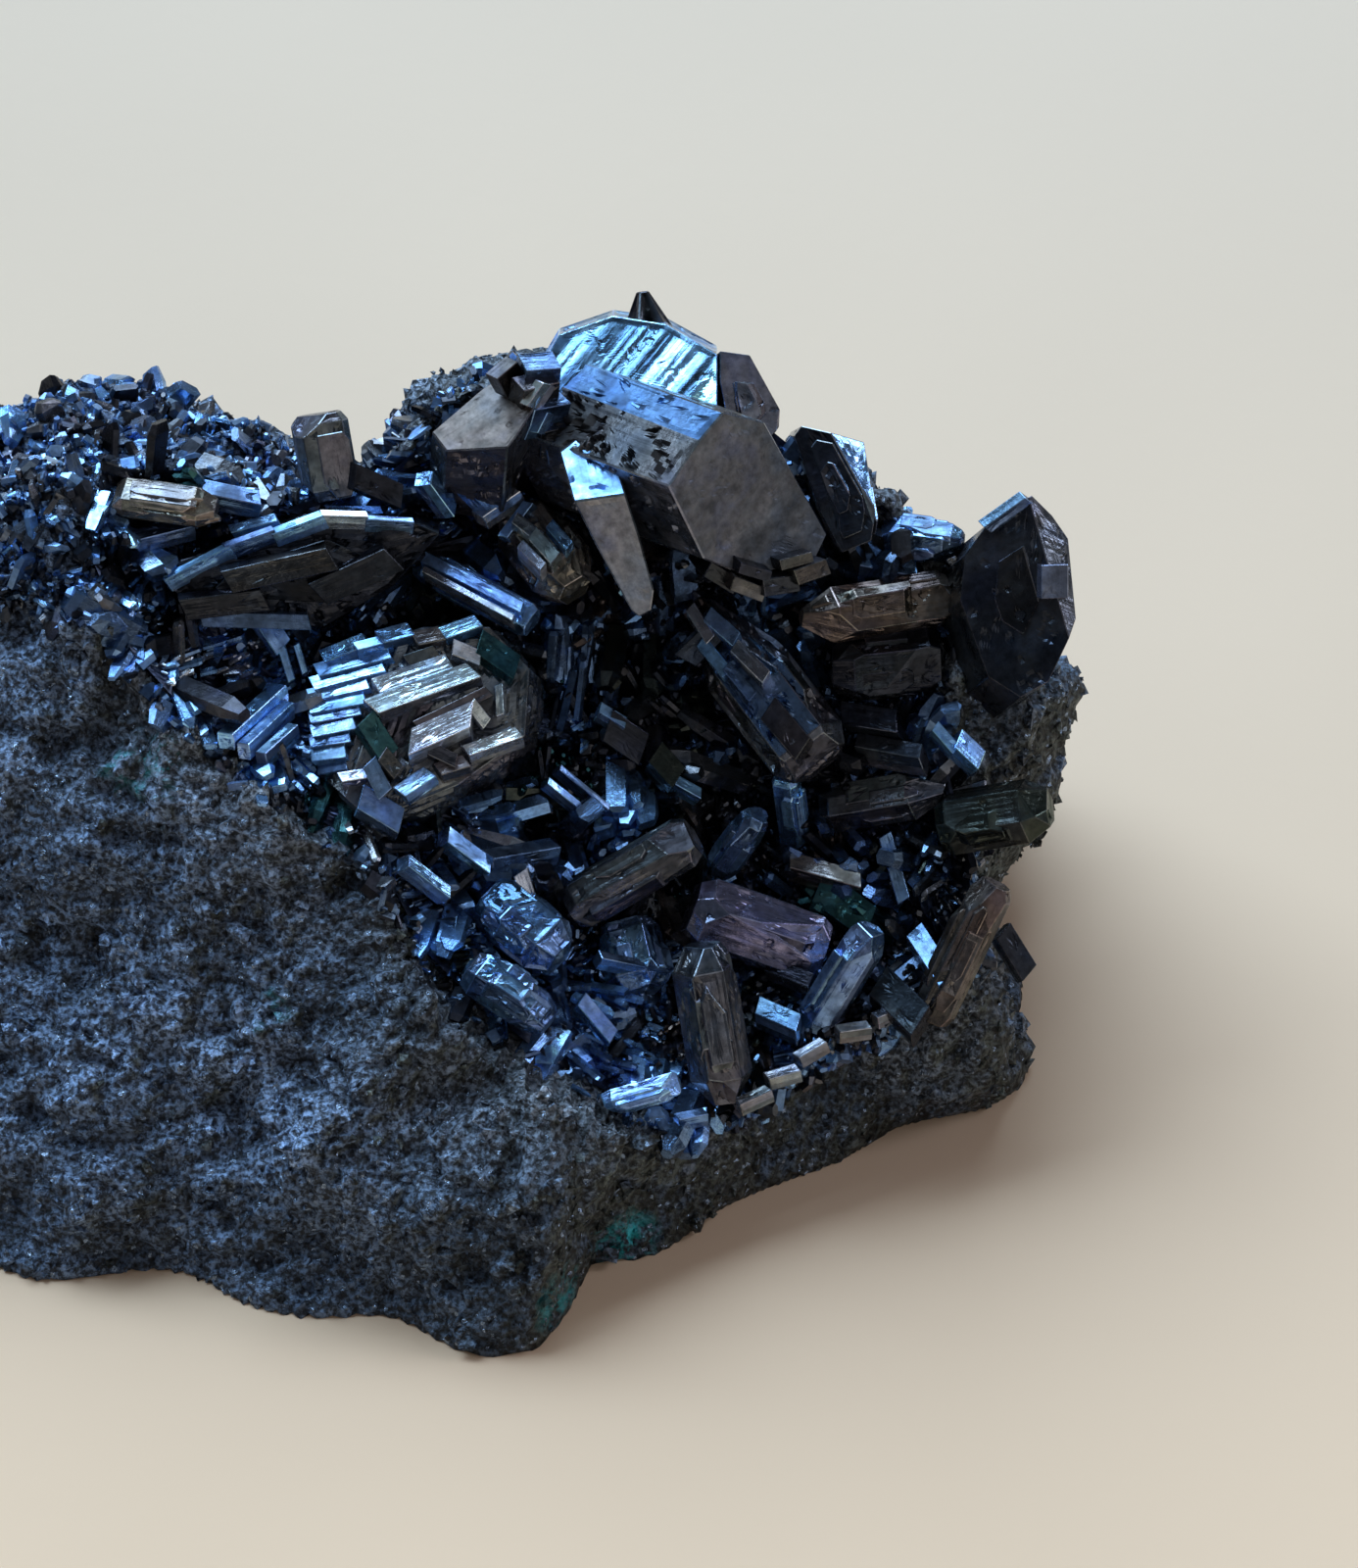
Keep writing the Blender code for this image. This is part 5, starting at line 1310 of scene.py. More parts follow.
def accent_plates() -> tuple[Plate, ...]:
    """Small crystals that catch the eye between the large ones."""
    bright, pale, steel, soot, drab = Tarnish.BRIGHT, Tarnish.PALE, Tarnish.STEEL, Tarnish.SOOT, Tarnish.DRAB
    left = (-0.3, 0.45, 0.84)
    # The bright and pale ones are painted reflection of the window light over their blue tarnish.
    return plates(
        (-4.6, 66.8, -2.2, 67.0, 1.6, steel, 7.2, 3.0, left), (-4.9, 65.2, -2.4, 65.8, 1.5, drab, 7.6, 3.0, left),
        (-4.4, 63.8, -1.9, 64.3, 1.5, steel, 7.6, 3.0, left), (-3.6, 62.4, -1.6, 62.9, 1.4, soot, 7.2, 3.0, left),
        (-3.0, 61.2, -1.2, 61.7, 1.2, steel, 6.8, 3.0, left), (-6.2, 66.0, -4.8, 67.2, 1.1, drab, 7.0, 2.6, left),
        (-3.9, 64.6, -2.8, 66.2, 0.8, pale, 8.6, 1.6, left), (-3.3, 62.8, -2.6, 64.2, 0.8, bright, 8.2, 1.6, left),
        (-22.5, 50.6, -20.9, 48.2, 1.6, bright, 2.2, 1.6), (-24.6, 41.9, -21.0, 45.3, 1.2, bright, 2.0, 1.4),
        (-23.4, 41.2, -20.4, 44.1, 0.9, bright, 2.2, 1.4), (-22.2, 40.6, -20.0, 42.6, 0.8, steel, 2.4, 1.4),
        (-20.9, 48.3, -20.2, 46.0, 0.6, bright, 2.6, 1.0), (-19.9, 48.6, -19.3, 46.6, 0.5, bright, 2.8, 1.0),
        (-3.0, 39.1, 0.1, 36.6, 0.6, bright, 3.0, 1.2), (-2.2, 40.0, 1.2, 37.2, 0.5, steel, 2.8, 1.2),
        (1.2, 43.2, 3.7, 41.5, 2.4, soot, 3.0, 2.4, (-0.4, 0.2, 0.9)),
        (0.6, 44.0, 2.4, 42.9, 0.9, bright, 3.6, 1.4),
        (4.4, 40.9, 6.0, 39.1, 1.9, Tarnish.OLIVE, 3.2, 2.2, (0.1, 0.4, 0.9)),
        (5.7, 39.1, 7.5, 38.1, 0.9, bright, 3.4, 1.2), (20.3, 35.5, 21.6, 31.0, 1.0, steel, 2.6, 1.4),
        (13.7, 33.4, 18.6, 32.0, 1.5, Tarnish.TAN, 2.6, 1.6),
        (15.9, 31.8, 19.4, 29.2, 2.6, Tarnish.TEAL, 1.8, 2.2, (0.1, 0.1, 0.98)),
        (25.0, 41.9, 26.6, 40.4, 1.6, bright, 2.0, 1.8), (23.6, 42.8, 25.0, 41.2, 0.9, bright, 2.2, 1.4),
        (28.2, 28.9, 30.0, 26.0, 1.6, soot, 1.0, 1.8),
        (19.9, 25.2, 22.8, 22.4, 2.6, soot, 2.2, 2.2, (0.0, 0.3, 0.95)),
        (-7.0, 33.6, -2.4, 34.4, 1.3, steel, 2.6, 1.6), (-9.9, 35.4, -7.0, 33.2, 1.3, bright, 2.4, 1.4),
        (-12.6, 33.6, -9.8, 31.4, 1.0, bright, 2.0, 1.4), (-0.6, 24.2, 1.6, 21.6, 1.2, bright, 2.6, 1.4),
        (0.6, 27.0, 5.2, 26.0, 0.8, steel, 2.8, 1.2), (-4.6, 33.0, -3.6, 29.8, 1.2, pale, 3.2, 1.6),
        (11.6, 23.4, 14.4, 22.2, 1.6, steel, 2.4, 1.8), (12.4, 26.2, 15.4, 25.0, 1.4, soot, 2.2, 1.8),
        (22.4, 28.6, 24.6, 25.2, 1.6, steel, 2.0, 1.8), (-6.8, 58.2, -9.2, 60.6, 1.6, bright, 3.0, 1.8),
        (-11.2, 59.8, -9.6, 57.6, 1.1, bright, 3.0, 1.4), (-7.4, 57.0, -4.8, 58.8, 1.2, pale, 3.4, 1.4),
        (-5.6, 55.6, -3.8, 58.0, 0.9, bright, 4.0, 1.4),
        (-13.0, 58.6, -16.2, 60.0, 1.8, soot, 2.2, 2.0, (0.0, 0.1, 0.99)),
        (-31.0, 55.4, -27.0, 56.4, 1.2, steel, 1.6, 1.4), (-26.4, 58.8, -22.4, 58.0, 1.4, steel, 1.4, 1.6),
        (-24.2, 56.0, -21.0, 56.8, 0.9, bright, 2.2, 1.2), (18.4, 54.0, 22.4, 53.2, 1.6, steel, 2.4, 1.8),
        (9.4, 50.4, 6.6, 47.6, 1.8, soot, 3.8, 2.0, (0.3, 0.1, 0.95)),
        (17.6, 43.6, 21.4, 43.0, 1.8, soot, 2.6, 2.2, (0.1, 0.2, 0.97)),
        (18.6, 41.4, 23.0, 40.6, 1.4, Tarnish.GUNMETAL, 2.4, 2.0),
        (10.2, 16.9, 12.4, 17.9, 0.9, Tarnish.ASH, 1.2, 1.2), (12.2, 18.7, 14.4, 19.3, 0.9, Tarnish.ASH, 1.4, 1.2),
        (14.3, 20.1, 16.2, 21.2, 0.8, Tarnish.ASH, 1.4, 1.2), (17.0, 21.9, 19.2, 22.2, 0.9, Tarnish.ASH, 1.3, 1.2),
        (19.6, 22.8, 21.6, 23.6, 0.8, Tarnish.ASH, 1.2, 1.2), (6.0, 15.9, 8.0, 16.3, 0.8, Tarnish.STEEL, 1.2, 1.2),
    )


def standing_crystals() -> tuple[StandingCrystal, ...]:
    """Every crystal that stands by itself, in the places of the solids."""
    prism, seen = CrystalForm.prism, CrystalForm.seen
    (gunmetal, steel, bright, pale, bronze, tan, drab, ash, azure, olive, soot, lavender, _, umber) = Tarnish
    # The BRIGHT and PALE colours given below, and the faces tinted bright, are painted reflection of the window light
    # over the crystals' blue tarnish.
    return (
        StandingCrystal("main_crystal", GUNMETAL, gunmetal, (
            seen(((9.2, 64.1), (12.0, 63.5), (16.3, 56.0), (15.5, 54.3), (11.0, 53.0), (7.9, 54.2), (5.3, 59.5)),
                 15.0, 17.0, (0.66, -0.25, 0.7), (0.66, -0.25, 0.7), (((-0.517, 0.531, 0.672), (7.45, 62.0)),)),
            seen(((-10.6, 62.9), (-7.0, 66.0), (-4.2, 67.6), (-1.9, 67.2), (-4.8, 62.6), (-5.4, 61.8), (-9.6, 61.6)),
                 7.0, 10.0, (-0.35, 0.55, 0.76), (0.05, 0.45, 0.89), (), (0.8, 0.55, 0.0)),
            seen(((-1.5, 60.1), (0.3, 61.0), (2.3, 59.5), (3.5, 55.8), (4.5, 52.1), (4.3, 50.7), (3.5, 50.3),
                  (2.7, 50.9), (0.5, 55.3), (-0.8, 57.7)),
                 16.5, 8.5, (-0.1, -0.28, 0.95), (0.1, -0.35, 0.93), ((SKY, (1.1, 58.4)),), (0.25, -0.95, 0.1)),
        ), Growth(0.45, 0.09, 0.0, 1.6, 0.8, 0.045, 0.2, 0.1, 0.22), (
            FaceTint((0.66, -0.25, 0.7), gunmetal, 0.7, 0.999, 0.4),
            # Painted reflection: the faces turned to the window, near SKY, take azure and bright.
            FaceTint((-0.43, 0.64, 0.63), azure, 0.3, 0.96),
            FaceTint((-0.517, 0.531, 0.672), drab, 0.25, 0.999, 2.5),
            FaceTint((-0.35, 0.55, 0.76), bronze, 0.7, 0.999, 0.3),
            FaceTint((-0.1, -0.28, 0.95), ash, 0.6, 0.999, 0.3),
            FaceTint(SKY, bright, 0.3, 0.999, 2.0),
        ), main_plates(), 0, chips=0),
        StandingCrystal("stepped_crystal", STEEL, gunmetal, (
            seen(((-18.5, 45.7), (-16.5, 48.0), (-11.3, 49.7), (-6.7, 49.7), (-4.0, 46.9), (-4.3, 42.3),
                  (-8.7, 39.0), (-14.7, 36.5), (-17.9, 39.3), (-18.8, 42.7)),
                 6.9, 8.9, (0.05, 0.1, 0.99), (-0.1, 0.1, 0.98),
                 (((-0.62, 0.3, 0.72), (-14.5, 44.0)), ((0.45, -0.5, 0.74), (-6.0, 41.0))), (0.95, 0.3, 0.0)),
        ), Growth(0.5, 0.1, 0.25, 0.9), (FaceTint((0.45, -0.5, 0.74), umber, 0.2),), stepped_plates(), 3, chips=0),
        StandingCrystal("needle_bar", STEEL, bright, (
            prism((-11.5, 54.2), (-3.8, 50.0), (-0.1, 0.6, 0.78), 2.4, 1.9, 0.7, 0.4, (0.5, 0.8), rise=3.2, lift=0.4),
        ), plates=plates(
            (-11.3, 54.3, -4.4, 50.7, 0.9, bright, 0.1, 1.4, (-0.3, 0.55, 0.8)),
            (-11.2, 53.4, -5.0, 50.0, 0.5, pale, 0.1, 1.4, (-0.3, 0.55, 0.8)),
        )),
        StandingCrystal("faceted_knob", BRONZE, tan, (
            prism((-4.6, 57.0), (-0.9, 52.2), SKY, 4.8, 4.6, tip_cut=(1.6, 0.55), rise=3.0, lift=1.6),
        ), Growth(terrace=0.15, tread=0.8), (), plates(
            (-5.0, 56.8, -3.2, 55.4, 1.0, pale, 0.1, 1.6),
            (-3.7, 55.8, -2.1, 54.0, 1.1, pale, 0.3, 1.6, (-0.2, 0.5, 0.84)),
            (-4.6, 55.0, -3.0, 53.4, 0.8, pale, 0.1, 1.6),
            (-2.6, 56.4, -1.2, 54.8, 0.9, bright, 0.1, 1.6),
        )),
        StandingCrystal("long_crystal", GUNMETAL, soot, (
            seen(((-29.0, 52.9), (-27.7, 54.2), (-18.0, 57.3), (-11.7, 56.7), (-10.1, 56.0), (-13.3, 52.5),
                  (-18.0, 49.7), (-26.0, 50.2)),
                 4.6, 6.5, (0.05, -0.35, 0.93), (0.0, -0.15, 0.98), (), (0.95, 0.2, 0.0)),
        ), Growth(0.6, 0.16, 0.16, 1.3, 1.2, 0.06), (), plates(
            (-28.7, 52.6, -24.2, 54.9, 0.6, bright, 0.0, 1.4),
            (-24.6, 54.8, -21.2, 56.0, 0.6, steel, 0.0, 1.4),
            (-21.4, 55.7, -17.9, 57.0, 0.7, bright, 0.0, 1.4),
            (-18.2, 57.0, -15.0, 56.9, 0.6, pale, 0.0, 1.4),
            (-15.2, 56.7, -11.9, 56.5, 0.5, steel, 0.0, 1.4),
            (-27.6, 51.2, -22.0, 51.9, 1.8, soot, 0.1, 2.0, (0.1, -0.4, 0.92)),
            (-24.6, 53.0, -17.4, 54.6, 1.9, drab, 0.3, 2.0, (0.05, -0.3, 0.95)),
            (-18.4, 52.2, -13.2, 54.6, 2.2, soot, 0.2, 2.0, (0.1, -0.3, 0.94)),
            (-26.4, 50.4, -19.0, 50.2, 1.2, steel, -0.2, 2.0, (0.0, -0.2, 0.97)),
        ), 3, chips=0),
        lone("tan_blade", BRONZE, tan, (-32.2, 58.6), (-25.2, 57.6), (-0.1, 0.55, 0.83), 2.6, 2.2, 0.7, 0.3,
             rise=1.0, lift=0.9),
        StandingCrystal("saddle_block", STEEL, gunmetal, (
            prism((-17.4, 58.4), (-18.4, 64.2), (0.1, 0.1, 0.98), 3.8, 3.2, 0.75, 0.5, (0.6, 0.8), rise=0.6, lift=0.4),
        ), offshoots=1),
        StandingCrystal("fan_crystal", STEEL, bright, (
            seen(((-3.7, 66.6), (-2.0, 69.6), (1.7, 70.9), (5.3, 70.3), (8.8, 68.2), (8.8, 64.0), (-1.0, 63.5)),
                 5.0, 7.5, (-0.12, 0.42, 0.9), (0.0, -0.1, 0.99), (), (0.56, 0.83, 0.0)),
            prism((4.5, 66.5), (3.7, 72.6), (0.2, 0.1, 0.97), 3.6, 3.0, tip_cut=(2.6, 0.25), rise=0.5, lift=1.6),
        ), Growth(0.7, 0.2, 0.0, 1.0, 0.8, 0.02, 0.9, 0.07, 0.2), (), (), 0, soot, 0),
        StandingCrystal("back_block", GUNMETAL, gunmetal, (
            seen(((9.0, 66.5), (8.6, 68.6), (11.6, 68.2), (13.0, 65.6), (13.2, 63.5), (11.0, 61.0), (9.0, 61.5)),
                 2.4, 6.0, (0.25, 0.05, 0.96), (0.15, 0.1, 0.98)),
        )),
        StandingCrystal("right_plate", GUNMETAL, gunmetal, (
            seen(((13.5, 62.0), (15.0, 64.0), (18.8, 63.2), (19.6, 57.5), (19.3, 55.6), (16.9, 54.6), (15.9, 57.5)),
                 4.6, 8.0, (-0.28, -0.1, 0.95), (0.05, -0.02, 1.00), (((0.55, 0.35, 0.75), (17.9, 60.5)),)),
        ), Growth(), (FaceTint((0.55, 0.35, 0.75), bright, 0.1), FaceTint((-0.28, -0.1, 0.95), soot, 0.3))),
        lone("low_crystal", STEEL, steel, (20.0, 56.2), (25.6, 55.4), (-0.1, 0.6, 0.8), 3.0, 2.6, rise=1.0, lift=0.7),
        StandingCrystal("horn_crystal", GUNMETAL, soot, (
            seen(((25.7, 54.6), (27.2, 56.7), (30.3, 58.7), (32.0, 57.6), (33.3, 56.2), (33.5, 50.5), (31.4, 46.0),
                  (29.5, 44.9), (27.3, 46.3), (25.4, 51.5)),
                 8.0, 14.0, (-0.3, -0.12, 0.94), (0.27, 0.22, 0.94), (((0.52, 0.12, 0.84), (31.3, 54.0)),)),
        ), Growth(0.5, 0.08), (FaceTint((0.52, 0.12, 0.84), gunmetal, 0.1),), plates(
            (31.6, 54.0, 31.6, 51.7, 2.1, lavender, -0.3, 1.4, (0.2, 0.5, 0.84), 0.0),
            (27.2, 56.4, 30.0, 58.4, 0.9, steel, -0.3, 1.6, (-0.3, 0.5, 0.8)),
        ), 2, chips=0),
        lone("ledge_crystal", BRONZE, bronze, (24.6, 51.8), (14.6, 50.2), SKY, 3.8, 3.4, tip_cut=(2.2, 0.4),
             rise=3.0, lift=1.8),
        lone("under_ledge", GUNMETAL, soot, (24.0, 47.6), (16.0, 46.8), (0.0, -0.3, 0.95), 4.6, 3.2,
             tip_cut=(2.0, 0.5), rise=1.0, lift=1.0),
        StandingCrystal("wedge_crystal", GUNMETAL, gunmetal, (
            prism((7.4, 51.4), (15.8, 40.4), (-0.35, 0.35, 0.86), 6.0, 4.8, 0.6, 0.0, (1.4, 0.75), (5.5, 0.3),
                  rise=4.0, lift=1.0),
        ), Growth(0.4, 0.08, 0.18, 1.0, 1.2, 0.08), (
            FaceTint((-0.35, 0.35, 0.86), steel, 0.18, 0.97),
        ), plates(
            (7.0, 50.9, 8.4, 48.6, 0.9, pale, 0.1, 1.8, (-0.2, 0.5, 0.84)),
            (8.2, 50.4, 10.2, 48.6, 1.2, bright, 0.2, 1.8, (-0.3, 0.5, 0.8)),
            (7.8, 48.6, 9.6, 46.4, 1.0, bright, 0.1, 1.8, (-0.35, 0.45, 0.82)),
            (10.0, 48.2, 12.2, 46.0, 1.1, pale, 0.3, 1.8, (-0.2, 0.5, 0.84)),
            (9.4, 46.8, 11.2, 44.6, 0.9, steel, 0.3, 1.8),
            (12.4, 44.0, 14.8, 41.2, 1.9, drab, 0.2, 1.8, (0.1, -0.1, 0.99)),
        )),
        lone("bright_bar", STEEL, bright, (14.2, 34.6), (13.5, 39.6), (-0.3, 0.25, 0.9), 1.9, 1.7, 0.7, 0.4,
             (0.4, 0.8), rise=4.5, lift=-0.3),
        lone("upper_spear", GUNMETAL, gunmetal, (16.2, 37.2), (24.6, 38.6), (0.0, 0.3, 0.95), 3.6, 3.0,
             tip_cut=(2.4, 0.3), rise=3.0, lift=0.6),
        lone("right_spear", BRONZE, olive, (24.2, 36.2), (31.5, 37.4), (0.0, 0.25, 0.97), 4.6, 3.4, 0.5,
             tip_cut=(1.6, 0.6), rise=2.6, lift=0.5),
        lone("right_column", BRONZE, bronze, (23.4, 22.9), (27.8, 32.2), (0.1, 0.1, 0.99), 3.0, 2.7, 0.6, 0.2,
             (0.8, 0.75), rise=2.5, lift=0.6),
        lone("edge_prism", STEEL, steel, (15.4, 22.4), (19.4, 29.0), (-0.45, 0.4, 0.8), 2.8, 2.6, 0.6, 0.2,
             (0.6, 0.8), rise=3.2, lift=0.4),
        StandingCrystal("pale_column", GUNMETAL, gunmetal, (
            prism((9.4, 17.2), (7.6, 28.0), (0.1, 0.05, 0.99), 4.4, 4.0, 0.5, 0.0, (1.6, 0.6), (2.0, 0.4),
                  rise=2.4, lift=1.1),
        ), Growth(0.5, 0.1, 0.12, 1.2)),
        lone("lavender_prism", STEEL, lavender, (16.0, 27.4), (7.0, 30.6), SKY, 5.2, 4.6, 0.5, tip_cut=(1.0, 0.75),
             rise=1.5, lift=1.4),
        lone("flat_bar", STEEL, bright, (1.0, 17.2), (6.2, 18.7), SKY, 1.6, 1.3, 0.7, 0.3, (0.3, 0.8), rise=1.0,
             lift=2.2),
        lone("barrel_crystal", GUNMETAL, gunmetal, (-1.2, 30.5), (7.2, 35.4), (0.0, 0.3, 0.95), 3.8, 3.4,
             tip_cut=(0.8, 0.75), rise=2.0, lift=1.4),
        lone("little_prism", STEEL, steel, (8.9, 33.0), (11.7, 36.9), SKY, 2.2, 2.0, 0.6, tip_cut=(0.6, 0.75),
             rise=3.0, lift=0.3),
        StandingCrystal("left_nugget", STEEL, steel, (
            prism((-6.8, 31.2), (-1.8, 27.2), SKY, 4.8, 4.0, tip_cut=(1.4, 0.6), rise=1.6, lift=2.0),
        ), Growth(0.4, 0.12, 0.22, 0.7)),
        StandingCrystal("lamellar_nugget", STEEL, steel, (
            prism((2.4, 29.4), (3.6, 24.6), SKY, 4.8, 3.2, tip_cut=(1.2, 0.6), rise=1.6, lift=1.2),
        ), Growth(0.35, 0.2, 0.15, 0.6)),
        StandingCrystal("rim_nugget", STEEL, steel, (
            prism((-8.0, 26.4), (-2.6, 22.8), SKY, 3.6, 3.2, tip_cut=(1.2, 0.6), rise=1.0, lift=1.4),
        ), Growth(0.4, 0.12, 0.18, 0.6)),
    )


@dataclass
class Thicket:
    """Many small crystals as one mesh: hexagonal bars with bevelled, slanting tips, worked out as whole arrays.

    Attributes:
        roots: Where each one starts, in display millimetres.
        along: Its direction.
        facing: Roughly, the outward direction of its broad face.
        length: Its length.
        width: Its width.
        thick: Its thickness.
        shade: Its colour.
        dull: Its dullness.
    """

    roots: Array
    along: Array
    facing: Array
    length: Array
    width: Array
    thick: Array
    shade: Array
    dull: Array

    def keep(self, chosen: Array) -> Thicket:
        """The same thicket with only some of its crystals."""
        return Thicket(*(getattr(self, key)[chosen] for key in self.__dataclass_fields__))

    def tips(self) -> Array:
        """Where each one ends."""
        return self.roots + self.along * self.length[:, None]

    def piece(self, name: str, look: Material, dice: Dice) -> bpy.types.Object:
        """Three six-cornered rings for each crystal: at the root, at the shoulder and, smaller, at the tip."""
        count = len(self.roots)
        along = unit(self.along)
        facing = unit(self.facing - along * (self.facing * along).sum(1, keepdims=True))
        side = np.cross(along, facing)
        flat = dice.uniform(0.45, 0.85, size=count)
        x = np.stack([np.ones(count), flat, -flat, -np.ones(count), -flat, flat], 1) * self.width[:, None] / 2
        y = np.array((0.0, 1.0, 1.0, 0.0, -1.0, -1.0)) * self.thick[:, None] / 2
        bevel = self.width * dice.uniform(0.15, 0.7, size=count)
        share = dice.uniform(0.35, 0.85, size=count)
        slope = dice.uniform(-0.45, 0.45, size=(count, 2))
        taper = dice.uniform(0.85, 1.1, size=count)
        rings = []
        for scale, height, slanted in ((taper, np.zeros(count), 0.0), (np.ones(count), self.length - bevel, 0.6),
                                       (share, self.length, 1.0)):
            tilt = slanted * (slope[:, :1] * x + slope[:, 1:] * y) * scale[:, None]
            reach = height[:, None] + tilt
            rings.append(self.roots[:, None] + side[:, None] * (x * scale[:, None])[..., None]
                         + facing[:, None] * (y * scale[:, None])[..., None] + along[:, None] * reach[..., None])
        points = np.stack(rings, 1).reshape(-1, 3)
        ring = np.arange(6)
        following = (ring + 1) % 6
        band = np.column_stack([ring, following, following + 6, ring + 6])
        quads = np.concatenate([band, band + 6])
        caps = np.array([ring[::-1], ring + 12])
        start = np.arange(count)[:, None, None] * 18
        faces = [(start + quads).reshape(-1, 4), (start + caps).reshape(-1, 6)]
        order = corner_order(faces)
        around = np.tile(ring, 3 * count) * np.repeat(self.width, 18) * 0.5
        up = np.repeat(np.column_stack([np.zeros(count), self.length - bevel, self.length]), 6)
        offset = np.repeat(dice.uniform(0, 50, size=count), 18)
        sides = np.concatenate([np.full(len(faces[0]), 4), np.full(len(faces[1]), 6)])
        varied = np.repeat(dice.uniform(0.6, 1.3, size=len(sides)), sides)
        skin = Skin(np.repeat(self.shade, 18, axis=0)[order] * varied[:, None],
                    np.repeat(self.dull, 18)[order], np.column_stack([around, up + offset])[order])
        return make_piece(name, DISPLAY.place(points), faces, look, skin)


@dataclass(frozen=True)
class Tier:
    """One size of small crystals in the crust.

    Attributes:
        name: Its name.
        count: How many are tried.
        families: How many parallel groups they form.
        length: Middle length in millimetres, and the spread of its logarithm.
        slim: Least and most width, as shares of the length.
        lean: Least and most lean from the near direction, in radians.
        sunk: How deep they sit in the crust.
        margin: How far inside the rim they start.
        bright: Their share of the crystals that face the window.
    """

    name: str
    count: int
    families: int
    length: Pair
    slim: Pair
    lean: Pair
    sunk: float
    margin: float
    bright: float = 1.0


@dataclass
class VugCrust:
    """The druse that lines the vug: a lumpy bed, and thousands of small crystals in parallel groups.

    Attributes:
        heart: Where the bed's rings shrink to, across and up.
        sectors: Columns of the bed round its heart.
        rings: Rows from the rim to the heart.
        underside: How far the bed's underside lies over the vug's floor.
        seed: Which scatter.
        tiers: The sizes of its small crystals.
        lit_patches: Across, up, width, height and strength of places where more crystals face the window.
    """

    heart: Pair = (3.0, 42.0)
    sectors: int = 420
    rings: int = 84
    underside: float = 0.7
    seed: int = 23
    tiers: tuple[Tier, ...] = (
        Tier("fine", 4600, 520, (0.95, 0.32), (0.3, 0.6), (0.15, 1.2), 0.5, 0.25),
        Tier("blades", 1700, 330, (2.4, 0.36), (0.2, 0.45), (0.55, 1.45), 1.1, 0.35),
        Tier("blocks", 620, 330, (3.5, 0.32), (0.3, 0.52), (0.45, 1.4), 1.0, 0.6, 0.45),
    )
    lit_patches: tuple = (
        (-20.0, 55.0, 11.0, 8.0, 0.45), (-6.0, 58.0, 6.0, 5.0, 0.5), (25.0, 41.0, 5.0, 5.0, 0.35),
    )

    def bed_points(self, level: int) -> Array:
        """Rings drawn in from the rim, on the crust's top (1) or its underside (0)."""
        outline = np.array(VUG.rim)
        closed = np.vstack([outline, outline[:1]])
        stops = np.concatenate([[0.0], np.cumsum(np.linalg.norm(np.diff(closed, axis=0), axis=1))])
        places = np.arange(self.sectors) / self.sectors * stops[-1]
        edge = np.stack([np.interp(places, stops, closed[:, axis]) for axis in (0, 1)], -1)
        shares = np.linspace(1.0, 0.004, self.rings) ** 0.9
        flat = (np.array(self.heart) + (edge - self.heart)[None] * shares[:, None, None]).reshape(-1, 2)
        floor = VUG.floor(*flat.T) + self.underside
        if level == 0:
            return np.column_stack([flat, floor])
        top = VUG.crust(*flat.T)
        points = np.column_stack([flat, top])
        nearest, second, tone = cell_noise(points, 1.7, 61)
        fine, _, fine_tone = cell_noise(points, 0.8, 67)
        height = 1.3 * (tone - 0.45) + 0.5 * (fine_tone - 0.5) - 0.9 * np.exp(-(second - nearest) * 8.0) - 0.3 * fine
        rim = smooth_step((1.0 - np.repeat(shares, self.sectors)) * 14.0)
        points[:, 2] = np.maximum(top + height * rim, floor + 0.1)
        return points

    def build(self, look: Material, standing: tuple[StandingCrystal, ...]) -> None:
        """Makes the bed and the thicket.

        Args:
            look: The lustrous material of small crystals.
            standing: The large crystals, which the small ones keep clear of.
        """
        top, under = self.bed_points(1), self.bed_points(0)
        quads = grid_quads(self.rings, self.sectors)
        first = len(top)
        ring = np.arange(self.sectors)
        following = (ring + 1) % self.sectors
        last = (self.rings - 1) * self.sectors
        brim = np.column_stack([ring, ring + first, following + first, following])
        caps = np.vstack([fan(ring + last, following + last, 2 * first),
                          fan(following + last + first, ring + last + first, 2 * first + 1)])
        hearts = np.array([top[last:].mean(0), under[last:].mean(0)])
        points = np.vstack([top, under, hearts])
        faces = [np.vstack([quads, quads[:, ::-1] + first, brim]), caps]
        order = corner_order(faces)
        tone = cell_noise(points, 1.7, 61)[2][order]
        shade = np.array(Tarnish.SOOT.value) * (0.5 + 1.6 * tone[:, None]) * (0.9, 1.0, 1.2)
        skin = Skin(shade, np.full(len(order), 0.35), points[order][:, :2])
        bed = make_piece("vug_crust_bed", DISPLAY.place(points), faces, look, skin)
        attach(bed, "crust", "vug_crust")
        dice = np.random.default_rng(self.seed)
        for tier in self.tiers:
            thicket = self.thicket(tier, dice)
            thicket = thicket.keep(self.clear_of(thicket, standing))
            attach(thicket.piece(f"vug_crust_{tier.name}", look, dice), "crust")

    def sunlit(self, across: Array, up: Array) -> Array:
        """Share of crystals that face the window: most along the left rim and the upper left, few in the middle."""
        rim = smooth_step((40.0 - across - up) / 18.0)
        share = 0.1 + 0.72 * rim
        for middle_across, middle_up, width, height, strength in self.lit_patches:
            away = -((across - middle_across) / width) ** 2 - ((up - middle_up) / height) ** 2
            share = share + strength * np.exp(away)
        return np.clip(share, 0.0, 0.85)

